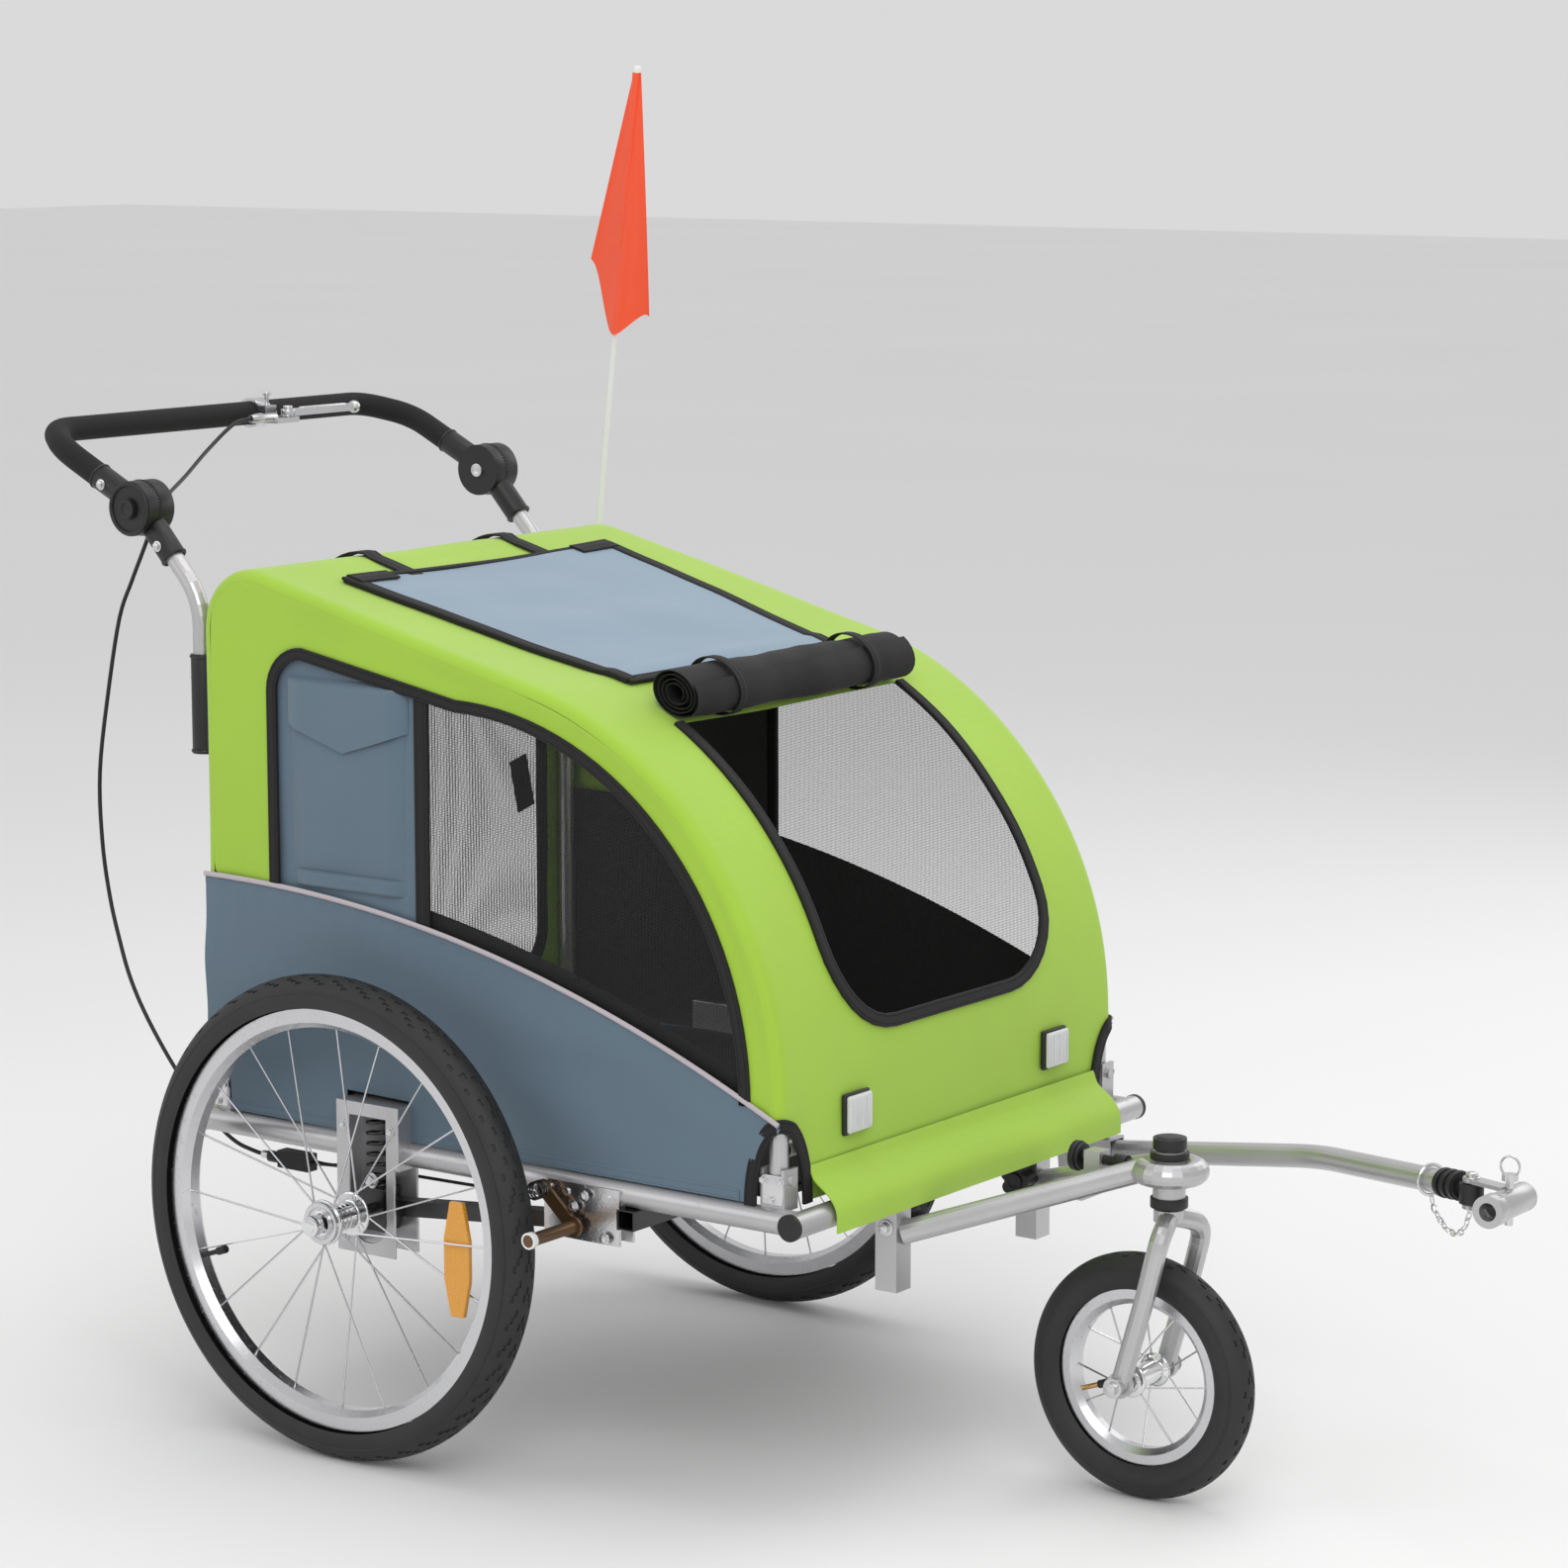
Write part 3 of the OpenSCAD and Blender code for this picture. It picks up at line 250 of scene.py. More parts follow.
@dataclass(frozen=True)
class Plastic:
    """Moulded plastic or rubber with a fine grain."""

    name: str
    colour: Colour
    roughness: float = 0.45
    grain_scale: float = 900
    grain: float = 0.0003
    dust: float = 0.02

    def material(self) -> bpy.types.Material:
        """Builds the finish: spark-eroded grain, faint dust and uneven gloss."""
        g = Graph(self.name)
        place = g.place()
        worn = g.cloud(place, 22, 5)
        dusty = tuple(c + self.dust for c in self.colour)
        g.set(Base_Color=g.blend(worn * 1.6 - 0.3, self.colour, dusty),
              Roughness=(worn * 0.2 + (self.roughness - 0.1)).clamp(),
              Normal=g.bump(g.cloud(place, self.grain_scale, 2), self.grain, 0.5))
        return g.material


@dataclass(frozen=True)
class Cloth:
    """Coated woven cloth."""

    name: str
    colour: Colour
    weave: Weave = Weave.PLAIN
    pitch: float = 0.0011
    roughness: float = 0.62
    sheen: float = 0.25

    def material(self) -> bpy.types.Material:
        """Builds the finish: a weave by place, yarn by yarn shading and soft creases."""
        g = Graph(self.name)
        place = g.place()
        turn = 2 * math.pi / self.pitch
        x, y, z = (g.axis(place, i) for i in range(3))
        warp = (x * turn).wave() * 0.5 + (y * turn).wave() * 0.5
        weft = (z * turn).wave()
        if self.weave is Weave.RIBBED:
            warp = ((x + y + z) * (turn * 0.5)).wave()
        yarn = warp * weft * 0.5 + 0.5
        faded = g.cloud(place, 7, 4)
        crease = g.cloud(place, 26, 3)
        g.set(Base_Color=g.blend(faded * 0.8 + yarn * 0.25 - 0.05, scaled(self.colour, 0.88),
                                 scaled(self.colour, 1.08)),
              Roughness=(faded * 0.12 + (self.roughness - 0.04)).clamp(),
              Sheen_Weight=self.sheen, Sheen_Roughness=0.5,
              Normal=g.bump(yarn * 0.12 + crease, 0.0016, 0.5))
        return g.material


@dataclass(frozen=True)
class Net:
    """Open woven mesh: fine yarns with see-through holes."""

    name: str
    colour: Colour
    pitch: float = 0.0026
    yarn: float = 0.34

    def material(self) -> bpy.types.Material:
        """Builds the finish: two sets of yarns, each a share of the pitch wide."""
        g = Graph(self.name)
        place = g.place()
        x, y, z = (g.axis(place, i) for i in range(3))
        turn = math.pi / self.pitch
        edge = math.cos(math.pi * self.yarn / 2)
        across = ((x + y * 0.35) * turn).wave().size()
        up = ((z + x * 0.04) * turn).wave().size()
        solid = (across > edge).most(up > edge)
        g.set(Base_Color=g.blend(g.cloud(place, 30), self.colour, scaled(self.colour, 1.4)),
              Roughness=g.cloud(place, 60) * 0.1 + 0.55, Alpha=solid,
              Normal=g.bump(across + up, 0.0004, 0.6))
        return g.material


@dataclass(frozen=True)
class Prism:
    """Moulded reflector plastic with small cube corners behind a glossy face."""

    name: str
    colour: Colour
    pitch: float = 0.004

    def material(self) -> bpy.types.Material:
        """Builds the finish: a lattice of facets that catch the light."""
        g = Graph(self.name)
        place = g.place()
        turn = 2 * math.pi / self.pitch
        x, y, z = (g.axis(place, i) for i in range(3))
        facet = ((x + z) * turn).wave() * ((y - z) * turn).wave() * ((x + y) * turn).wave()
        g.set(Base_Color=g.blend(facet * 1.4 + 0.5, scaled(self.colour, 0.72), self.colour),
              Roughness=g.cloud(place, 90) * 0.06 + 0.12, Coat_Weight=1.0, Coat_Roughness=0.04,
              Normal=g.bump(facet, 0.0009, 0.8))
        return g.material


FINISHES: dict[str, Metal | Plastic | Cloth | Net | Prism] = {
    "silver_paint": Metal("Silver paint", (0.53, 0.52, 0.53), 0.33, 0.72, 0.25),
    "bright_steel": Metal("Zinc plated steel", (0.68, 0.68, 0.69), 0.24),
    "rim_alloy": Metal("Polished alloy", (0.66, 0.66, 0.68), 0.26, grain=0.0002),
    "chrome": Metal("Chrome", (0.8, 0.8, 0.81), 0.09, grain=0.0001),
    "bronze": Metal("Yellow zinc steel", (0.16, 0.095, 0.05), 0.36, 0.8),
    "black_paint": Metal("Black paint", (0.006, 0.006, 0.0065), 0.32, 0.0, 0.3),
    "black_plastic": Plastic("Black plastic", (0.006, 0.006, 0.0065), 0.45, dust=0.006),
    "black_foam": Plastic("Black foam", (0.005, 0.005, 0.0055), 0.85, 1500, 0.0008, 0.004),
    "tyre": Plastic("Tyre rubber", (0.011, 0.011, 0.012), 0.6, 700, 0.0005, 0.012),
    "cable": Plastic("Cable jacket", (0.005, 0.005, 0.0055), 0.4, dust=0.004),
    "white": Plastic("White fibre", (0.78, 0.78, 0.76), 0.35, dust=0.03),
    "green_cloth": Cloth("Green cloth", (0.35, 0.57, 0.035)),
    "grey_cloth": Cloth("Slate cloth", (0.10, 0.155, 0.205)),
    "roof_cloth": Cloth("Roof cloth", (0.22, 0.31, 0.40)),
    "black_cloth": Cloth("Black cloth", (0.005, 0.005, 0.0055), Weave.RIBBED, 0.0016, 0.75, 0.03),
    "piping": Cloth("Reflective piping", (0.50, 0.45, 0.48), Weave.RIBBED, 0.0012, 0.3, 0.0),
    "mesh": Net("Window mesh", (0.012, 0.012, 0.013), 0.0017, 0.22),
    "fine_net": Net("Rolled net", (0.012, 0.012, 0.013), 0.0022, 0.6),
    "orange": Cloth("Orange vinyl", (0.95, 0.085, 0.02), Weave.PLAIN, 0.0009, 0.4, 0.1),
    "amber": Prism("Amber reflector", (0.98, 0.42, 0.01)),
    "clear": Prism("Clear reflector", (0.82, 0.82, 0.84), 0.005),
    "brass": Metal("Brass", (0.6, 0.38, 0.14), 0.25),
}
MATERIALS = {name: finish.material() for name, finish in FINISHES.items()}


# ---- mesh tools ----


def deselect() -> None:
    """Leaves object mode with nothing selected."""
    if bpy.context.object and bpy.context.object.mode != "OBJECT":
        bpy.ops.object.mode_set(mode="OBJECT")
    bpy.ops.object.select_all(action="DESELECT")


def choose(obj: bpy.types.Object) -> None:
    """Makes one object the only selected and active one."""
    deselect()
    obj.select_set(True)
    bpy.context.view_layer.objects.active = obj


def modifier(obj: bpy.types.Object, kind: str, **settings: object) -> None:
    """Adds a modifier with its settings and applies it."""
    choose(obj)
    made = obj.modifiers.new(kind.title(), kind)
    for key, value in settings.items():
        setattr(made, key, value)
    bpy.ops.object.modifier_apply(modifier=made.name)


def settle(obj: bpy.types.Object, name: str, finish: str, body: str, smooth: float = 40) -> bpy.types.Object:
    """Finishes a piece: name, place in its mesh, smooth shading, material, slot and body.

    Args:
        obj: the piece.
        name: its name.
        finish: a key of FINISHES.
        body: the CAD body that it rides on, or "" for a piece that is left without one.
        smooth: the angle in degrees above which an edge stays sharp.

    Returns:
        The piece.
    """
    choose(obj)
    bpy.ops.object.transform_apply(location=True, rotation=True, scale=True)
    bpy.ops.object.shade_smooth_by_angle(angle=math.radians(smooth))
    obj.name = name
    obj.data.name = name
    obj.data.materials.clear()
    obj.data.materials.append(MATERIALS[finish])
    if body:
        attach(obj, body)
    return obj


def from_mesh(verts: Sequence[Vector], faces: Sequence[Sequence[int]]) -> bpy.types.Object:
    """A new object from points and faces, with doubled points merged and faces turned outwards."""
    mesh = bpy.data.meshes.new("piece")
    mesh.from_pydata([tuple(v) for v in verts], [], faces)
    obj = bpy.data.objects.new("piece", mesh)
    bpy.context.scene.collection.objects.link(obj)
    bm = bmesh.new()
    bm.from_mesh(mesh)
    bmesh.ops.remove_doubles(bm, verts=bm.verts, dist=1e-5)
    bmesh.ops.recalc_face_normals(bm, faces=bm.faces)
    bm.to_mesh(mesh)
    bm.free()
    return obj


def grid_faces(rows: int, columns: int, wrap: bool = False) -> list[tuple[int, ...]]:
    """Quads of a grid of points stored row by row; wrap joins the last column to the first."""
    last = columns if wrap else columns - 1
    return [(r * columns + c, r * columns + (c + 1) % columns, (r + 1) * columns + (c + 1) % columns,
             (r + 1) * columns + c) for r in range(rows - 1) for c in range(last)]


def spline(points: Sequence[Point | Vector], steps: int = 6, closed: bool = False) -> list[Vector]:
    """A smooth curve through points.

    Args:
        points: what it passes through.
        steps: new points from one to the next.
        closed: whether it returns to its start.

    Returns:
        Points along a Catmull-Rom curve.
    """
    p = [Vector(q) for q in points]
    n = len(p)
    out = []
    for i in range(n if closed else n - 1):
        a, b, c, d = (p[(i + k) % n] if closed else p[min(max(i + k, 0), n - 1)] for k in (-1, 0, 1, 2))
        for s in range(steps):
            t = s / steps
            out.append(0.5 * (2 * b + (c - a) * t + (2 * a - 5 * b + 4 * c - d) * t * t
                              + (3 * b - a - 3 * c + d) * t ** 3))
    if not closed:
        out.append(p[-1])
    return out


def sweep(path: Sequence[Vector], profile: Sequence[tuple[float, float]], closed: bool = False,
          normals: Sequence[Vector] | None = None) -> bpy.types.Object:
    """Sweeps a closed section along a path.

    Args:
        path: points of the path.
        profile: section points; the first number is across the path, the second along its normal.
        closed: whether the path returns to its start.
        normals: the second direction at each point; carried along the path where it is left out.

    Returns:
        A closed mesh.
    """
    n = len(path)
    verts: list[Vector] = []
    up = Vector((0, 0, 1))
    for i, p in enumerate(path):
        ahead = path[(i + 1) % n] if closed or i < n - 1 else path[i]
        behind = path[(i - 1) % n] if closed or i > 0 else path[i]
        d = (ahead - behind).normalized()
        if normals is not None:
            up = normals[i]
        elif abs(d.dot(up)) > 0.98:
            up = Vector((1, 0, 0)) if abs(d.x) < 0.9 else Vector((0, 1, 0))
        up = (up - d * up.dot(d)).normalized()
        side = d.cross(up)
        verts += [p + side * a + up * b for a, b in profile]
    m = len(profile)
    faces = grid_faces(n, m, True)
    if closed:
        faces += [((n - 1) * m + k, (n - 1) * m + (k + 1) % m, (k + 1) % m, k) for k in range(m)]
    else:
        faces += [tuple(range(m)), tuple(range((n - 1) * m, n * m))]
    return from_mesh(verts, faces)


def ring_profile(radius: float, sides: int = 12) -> list[tuple[float, float]]:
    """A round section."""
    return [(radius * math.cos(2 * math.pi * k / sides), radius * math.sin(2 * math.pi * k / sides))
            for k in range(sides)]


def band_profile(width: float, thick: float) -> list[tuple[float, float]]:
    """A flat section with rounded edges and a raised row of stitching ridges."""
    w, t = width / 2, thick / 2
    return [(-w, 0), (-w * 0.94, t * 0.8), (-w * 0.8, t), (-w * 0.62, t), (-w * 0.55, t * 0.72),
            (-w * 0.48, t), (w * 0.48, t), (w * 0.55, t * 0.72), (w * 0.62, t), (w * 0.8, t),
            (w * 0.94, t * 0.8), (w, 0), (w * 0.9, -t), (-w * 0.9, -t)]


def join(parts: Sequence[bpy.types.Object]) -> bpy.types.Object:
    """Joins pieces into the first."""
    deselect()
    for part in parts:
        part.select_set(True)
    bpy.context.view_layer.objects.active = parts[0]
    bpy.ops.object.join()
    return parts[0]


def turned(radius: float, depth: float, centre: Point | Vector, axis: Point, sides: int = 32,
           bevel: float = 0.001, recess: float = 0.0, recess_depth: float = 0.0) -> bpy.types.Object:
    """A bevelled disc or rod, with a recess or a raised middle on its front face.

    Args:
        radius: its radius.
        depth: its length.
        centre: the middle of its length.
        axis: the direction that its front faces.
        sides: its sides.
        bevel: width of the rounded edges.
        recess: width of the rim left round the recess, 0 for none.
        recess_depth: how far the middle goes in; negative raises it.

    Returns:
        The piece.
    """
    deselect()
    bpy.ops.mesh.primitive_cylinder_add(vertices=sides, radius=radius, depth=depth)
    obj = bpy.context.object
    if recess:
        bpy.ops.object.mode_set(mode="EDIT")
        bpy.ops.mesh.select_all(action="DESELECT")
        bpy.ops.object.mode_set(mode="OBJECT")
        for f in obj.data.polygons:
            f.select = f.normal.z > 0.9
        bpy.ops.object.mode_set(mode="EDIT")
        bpy.ops.mesh.select_mode(type="FACE")
        bpy.ops.mesh.inset(thickness=recess)
        bpy.ops.mesh.extrude_region_move(TRANSFORM_OT_translate={"value": (0, 0, -recess_depth)})
        bpy.ops.object.mode_set(mode="OBJECT")
    modifier(obj, "BEVEL", width=bevel, segments=2, limit_method="ANGLE", angle_limit=math.radians(40))
    turn = Vector(axis).to_track_quat("Z", "Y").to_matrix().to_4x4()
    obj.data.transform(Matrix.Translation(Vector(centre)) @ turn)
    return obj


def bolt(centre: Point | Vector, axis: Point, radius: float = 0.005,
         height: float = 0.004) -> bpy.types.Object:
    """A hexagon bolt head on a washer."""
    direction = Vector(axis).normalized()
    washer = turned(radius * 1.35, 0.0012, Vector(centre) + direction * 0.0006, axis, 24, 0.0003)
    head = turned(radius, height, Vector(centre) + direction * (height / 2 + 0.0012), axis, 6, 0.0006,
                  radius * 0.2, -0.0004)
    return join([head, washer])


def block(low: Point | Vector, high: Point | Vector, bevel: float = 0.002) -> bpy.types.Object:
    """A box with rounded edges, from its lowest to its highest corner."""
    deselect()
    low, high = Vector(low), Vector(high)
    bpy.ops.mesh.primitive_cube_add(size=1)
    obj = bpy.context.object
    obj.data.transform(Matrix.Translation((low + high) / 2) @ Matrix.Diagonal((*(high - low), 1)))
    modifier(obj, "BEVEL", width=bevel, segments=3, limit_method="NONE")
    return obj


def middle(node: str) -> Vector:
    """Centre of a CAD node's box."""
    low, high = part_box(node)
    return (low + high) / 2


# ---- places shared by several assemblies, in metres ----

SIDES: tuple[tuple[int, str], ...] = ((-1, "right"), (1, "left"))


@dataclass
class Plan:
    """Places read from the frame."""

    axle_x: float = field(default_factory=lambda: middle("right_tyre").x)
    rail_z: float = field(default_factory=lambda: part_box("side_panels")[0].z - 0.0131)
    skin_y: float = field(default_factory=lambda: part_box("cabin_cover")[1].y)
    front_x: float = field(default_factory=lambda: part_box("cabin_cover")[1].x)
    rear_x: float = field(default_factory=lambda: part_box("cabin_cover")[0].x)
    top_z: float = field(default_factory=lambda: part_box("cabin_cover")[1].z)

    def at(self, x: float, y: float, z: float) -> Vector:
        """A point given by its distance ahead of the rear axle."""
        return Vector((self.axle_x + x, y, z))


# ---- studio ----


@dataclass
class Studio:
    """Camera, lights, floor and backdrop."""

    plan: Plan
    lens: float = 103.25
    azimuth: float = 35.865
    tilt: float = 9.052
    camera: Point = (2.924, -3.647, 1.384)

    def build(self) -> None:
        """Makes the studio."""
        data = bpy.data.cameras.new("Camera")
        data.lens = self.lens
        data.sensor_width = 36
        data.clip_start, data.clip_end = 0.1, 60
        cam = bpy.data.objects.new("Camera", data)
        bpy.context.scene.collection.objects.link(cam)
        a, t = math.radians(self.azimuth), math.radians(self.tilt)
        ahead = Vector((-math.sin(a) * math.cos(t), math.cos(a) * math.cos(t), -math.sin(t)))
        cam.location = self.plan.at(*self.camera)
        cam.rotation_mode = "QUATERNION"
        cam.rotation_quaternion = ahead.to_track_quat("-Z", "Y")
        bpy.context.scene.camera = cam
        self.floor()
        for name, place, size, energy in (
                ("Key light", (2.2, -2.8, 3.0), 2.2, 48.0), ("Fill light", (-2.6, -3.0, 2.2), 2.4, 14.0),
                ("Top light", (0.2, 0.4, 3.4), 2.4, 26.0), ("Rim light", (0.4, 3.4, 2.2), 2.2, 18.0)):
            self.light(name, place, size, energy)
        bpy.context.scene.view_settings.view_transform = "Standard"
        world = bpy.data.worlds.new("Studio")
        bpy.context.scene.world = world
        world.use_nodes = True
        background = world.node_tree.nodes["Background"]
        background.inputs["Color"].default_value = (1, 1, 1, 1)
        background.inputs["Strength"].default_value = 0.70

    def light(self, name: str, place: Point, size: float, energy: float) -> None:
        """Adds a square soft light that faces the trailer."""
        data = bpy.data.lights.new(name, "AREA")
        data.size = size
        data.energy = energy
        lamp = bpy.data.objects.new(name, data)
        bpy.context.scene.collection.objects.link(lamp)
        lamp.location = place
        lamp.rotation_mode = "QUATERNION"
        lamp.rotation_quaternion = (Vector((0, 0, 0.5)) - Vector(place)).to_track_quat("-Z", "Y")

    def floor(self) -> None:
        """Adds the pale floor, with its top at the ground."""
        deselect()
        bpy.ops.mesh.primitive_plane_add(size=60)
        floor = bpy.context.object
        floor.name = "Floor"
        g = Graph("Pale floor")
        shade = g.cloud(g.place(), 0.6)
        g.set(Base_Color=g.blend(shade, (0.86, 0.86, 0.86), (0.9, 0.9, 0.9)), Roughness=0.9)
        floor.data.materials.append(g.material)


# ---- cabin ----


@dataclass
class Outline:
    """Side outline of the cabin and the lines drawn on it, all in metres."""

    plan: Plan
    arc_r: float = 0.400
    corner_r: float = 0.062
    slope: float = math.radians(14)
    low_z: float = 0.316
    window_r: float = 0.358
    window_lift: float = 0.008
    window_ahead: float = 0.004
    window_rise: float = 0.036
    split: float = 0.292
    window_rear: float = 0.092
    window_corner: float = 0.045
    piping_rear: float = 0.259
    piping_front: float = 0.092

    def __post_init__(self) -> None:
        """Works out the arcs' centres and the lengths of the outline's stretches."""
        p = self.plan
        self.turn_x = p.rear_x + self.corner_r
        self.turn_z = p.top_z - self.corner_r
        self.arc_x = p.front_x - self.arc_r
        s, c = math.sin(self.slope), math.cos(self.slope)
        self.arc_z = (s * (self.turn_x - self.arc_x) + c * self.turn_z + self.corner_r - self.arc_r) / c
        sweep_angle = math.pi / 2 - self.slope
        roof = ((self.arc_x + self.arc_r * s - self.turn_x - self.corner_r * s) / c)
        self.spans = [self.arc_z - self.low_z, self.arc_r * sweep_angle, roof,
                      self.corner_r * (math.pi - sweep_angle), self.turn_z - self.low_z]
        self.length = sum(self.spans)

    def at(self, s: float, inset: float = 0.0) -> tuple[float, float]:
        """A point of the outline.

        Args:
            s: distance along it from the foot of the front, over the roof, to the foot of the rear.
            inset: distance inside it.

        Returns:
            X and Z.
        """
        front, arc, roof, corner, _ = self.spans
        full = math.pi / 2 - self.slope
        if s <= front:
            return self.plan.front_x - inset, self.low_z + s
        s -= front
        if s <= arc:
            a = s / self.arc_r
            r = self.arc_r - inset
            return self.arc_x + r * math.cos(a), self.arc_z + r * math.sin(a)
        s -= arc
        if s <= roof:
            x0 = self.arc_x + (self.arc_r - inset) * math.cos(full)
            z0 = self.arc_z + (self.arc_r - inset) * math.sin(full)
            return x0 - s * math.cos(self.slope), z0 + s * math.sin(self.slope)
        s -= roof
        if s <= corner:
            a = full + s / self.corner_r
            r = self.corner_r - inset
            return self.turn_x + r * math.cos(a), self.turn_z + r * math.sin(a)
        s -= corner
        return self.plan.rear_x + inset, self.turn_z - s

    def piping(self, x: float) -> float:
        """Height of the piping, falling towards the front."""
        p = self.plan
        t = max(0.0, x - p.rear_x) / (p.front_x - p.rear_x)
        high, low = p.rail_z + self.piping_rear, p.rail_z + self.piping_front
        return high + (low - high) * t ** 2.1

    def window(self, grow: float = 0.0) -> list[list[tuple[float, float]]]:
        """Upper edge of the side window in four stretches, from its front foot to its rear foot.

        Args:
            grow: distance outside the window's edge.
        """
        cx, cz, r = self.arc_x + self.window_ahead, self.arc_z + self.window_lift, self.window_r + grow
        rear, c = self.plan.rear_x + self.window_rear - grow, self.window_corner + grow
        top = cz + self.window_r + self.window_rise + grow
        foot = cx + r
        front = [(foot, self.piping(foot) + (cz - self.piping(foot)) * i / 4) for i in range(4)]
        arc = [(cx + r * math.cos(a), cz + r * math.sin(a)) for a in
               (math.pi / 2 * i / 30 for i in range(30))]
        turn = [(rear + c + c * math.cos(a), top - c + c * math.sin(a)) for a in
                (math.pi / 2 + math.pi / 2 * i / 8 for i in range(9))]
        high = [(cx + (turn[0][0] - cx) * i / 10, cz + r + (top - cz - r) * i / 10) for i in range(10)]
        low = self.piping(rear)
        down = [(rear, top - c + (low - top + c) * i / 12) for i in range(1, 13)]
        return [front, arc, high, turn, down]


@dataclass
class Cabin:
    """Cloth cabin: cover, lower panels, windows, bindings, roof panel and rolled door."""

    plan: Plan
    line: Outline
    round_r: float = 0.012
    door_half: float = 0.190
    door_low: float = 0.467
    door_top: float = 0.752
    door_r: float = 0.090
    cloth: float = 0.0016
    cut_x: float = 0.036
    cut_y: float = 0.040
    cut_z: float = 0.082
    rear_half: float = 0.262
    rear_low: float = 0.365
    rear_high: float = 0.780
    rear_r: float = 0.060
    probe: float = 0.010
    webbing: float = 0.022
    strap_y: float = 0.112
    tab_y: float = 0.182
    roof_front_half: float = 0.172
    roof_rear_half: float = 0.212

    def build(self) -> None:
        """Makes every piece of the cabin."""
        self.cover()
        for side, name in SIDES:
            self.lower_panel(side, name)
            self.window(side, name)
            self.bindings(side, name)
            self.pocket_panel(side, name)
        self.door_binding()
        self.roof_panel()
        self.straps()
        self.door_roll()
        self.floor_pad()
        self.rear_window()
        self.skirt()
        for side, name in SIDES:
            self.corner_binding(side, name)

    def sag(self, s: float, y: float) -> float:
        """How far the cloth between the hoops dips inwards, with soft folds."""
        half = self.plan.skin_y
        middle = 1 - (y / half) ** 2
        fold = noise.noise(Vector((s * 5.5, y * 3.2, 1.7))) * 0.0035 \
            + noise.noise(Vector((s * 14, y * 9, 6.1))) * 0.0012
        front, arc, roof, *_ = self.line.spans
        dip = 0.0055 if front + arc < s < front + arc + roof else 0.002
        near_edge = min(1.0, (half - abs(y)) / 0.03)
        return middle * dip - fold * near_edge * 0.8

    def skin(self, s: float, y: float, lift: float = 0.0) -> Vector:
        """A point on the wrap that covers the front, roof and rear."""
        x, z = self.line.at(s, self.sag(s, y) - lift)
        return Vector((x, y, z))

    def outward(self, s: float, y: float) -> Vector:
        """The direction away from the cabin at a point on the wrap."""
        return (self.skin(s, y, self.probe) - self.skin(s, y)).normalized()

    def stations(self, start: float, end: float, step: float = 0.018) -> list[float]:
        """Evenly spaced distances along the outline."""
        n = max(2, round((end - start) / step))
        return [start + (end - start) * i / n for i in range(n + 1)]

    def s_at_height(self, z: float) -> float:
        """Distance along the front of the outline to a height."""
        low, high = 0.0, self.line.spans[0] + self.line.spans[1]
        for _ in range(40):
            mid = (low + high) / 2
            if self.line.at(mid)[1] < z:
                low = mid
            else:
                high = mid
        return low

    def door_path(self) -> list[tuple[float, float]]:
        """The door's edge as (Y, distance along the outline), from its right top round its foot."""
        top, low = self.s_at_height(self.door_top), self.s_at_height(self.door_low)
        h, r = self.door_half, self.door_r
        sides = [(-h, top + (low + r - top) * i / 16) for i in range(16)]
        turn = [(-h + r - r * math.cos(a), low + r - r * math.sin(a)) for a in
                (math.pi / 2 * i / 8 for i in range(9))]
        foot = [((-h + r) * (1 - i / 7), low) for i in range(1, 8)]
        half = sides + turn + foot
        return half + [(-y, s) for y, s in reversed(half[:-1])]

    def cover(self) -> None:
        """The green cover: front with its opening, roof, rear and both sides."""
        verts: list[Vector] = []
        faces: list[tuple[int, ...]] = []
        half = self.plan.skin_y
        edge = half - self.round_r

        def add(rows: list[list[Vector]]) -> None:
            """Adds one grid of points."""
            base = len(verts)
            faces.extend(tuple(base + k for k in f) for f in grid_faces(len(rows), len(rows[0])))
            verts.extend(p for row in rows for p in row)

        inner = self.door_path()
        top = self.s_at_height(self.door_top)
        count = len(inner)
        outer = []
        for i, (y, s) in enumerate(inner):
            if i < 16:
                outer.append((-edge, top * (1 - i / 16)))
            elif i < count - 16:
                outer.append((-edge + 2 * edge * (i - 16) / (count - 33), 0.0))
            else:
                outer.append((edge, top * (1 - (count - 1 - i) / 16)))
        outer[count - 17] = (edge, 0.0)
        bands = 7
        add([[self.skin(a[1] + (b[1] - a[1]) * k / bands, a[0] + (b[0] - a[0]) * k / bands)
              for k in range(bands + 1)] for a, b in zip(outer, inner)])
        columns = 26
        ys = [-edge] + [-self.door_half + 2 * self.door_half * i / (columns - 8)
                        for i in range(columns - 7)] + [edge]
        ys = sorted(set(ys + [-edge + (edge - self.door_half) * k / bands for k in range(bands)]
                        + [edge - (edge - self.door_half) * k / bands for k in range(bands)]))
        rear_s = self.line.length - self.line.spans[4]
        roof = self.stations(top, rear_s)
        fall = self.stations(rear_s, self.line.length)
        add([[self.skin(s, y) for y in ys] for s in roof])
        add(self.rear_ring(ys, fall))
        rest = roof + fall[1:]
        for side in (-1, 1):
            whole = [top * (1 - i / 16) for i in range(16, -1, -1)] + rest[1:]
            rows = []
            for s in whole:
                row = []
                for k in range(5):
                    a = math.pi / 2 * k / 4
                    x, z = self.line.at(s, self.round_r * (1 - math.cos(a)) + self.sag(s, side * edge))
                    row.append(Vector((x, side * (edge + self.round_r * math.sin(a)), z)))
                rows.append(row)
            add(rows)
            add(self.side_ring(side))
        obj = from_mesh(verts, faces)
        modifier(obj, "SOLIDIFY", thickness=self.cloth, offset=-1)
        modifier(obj, "SUBSURF", levels=1, render_levels=1)
        self.cut_corners(obj)
        settle(obj, "cabin_cloth", "green_cloth", "chassis", 60)
        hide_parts("cabin_cover")
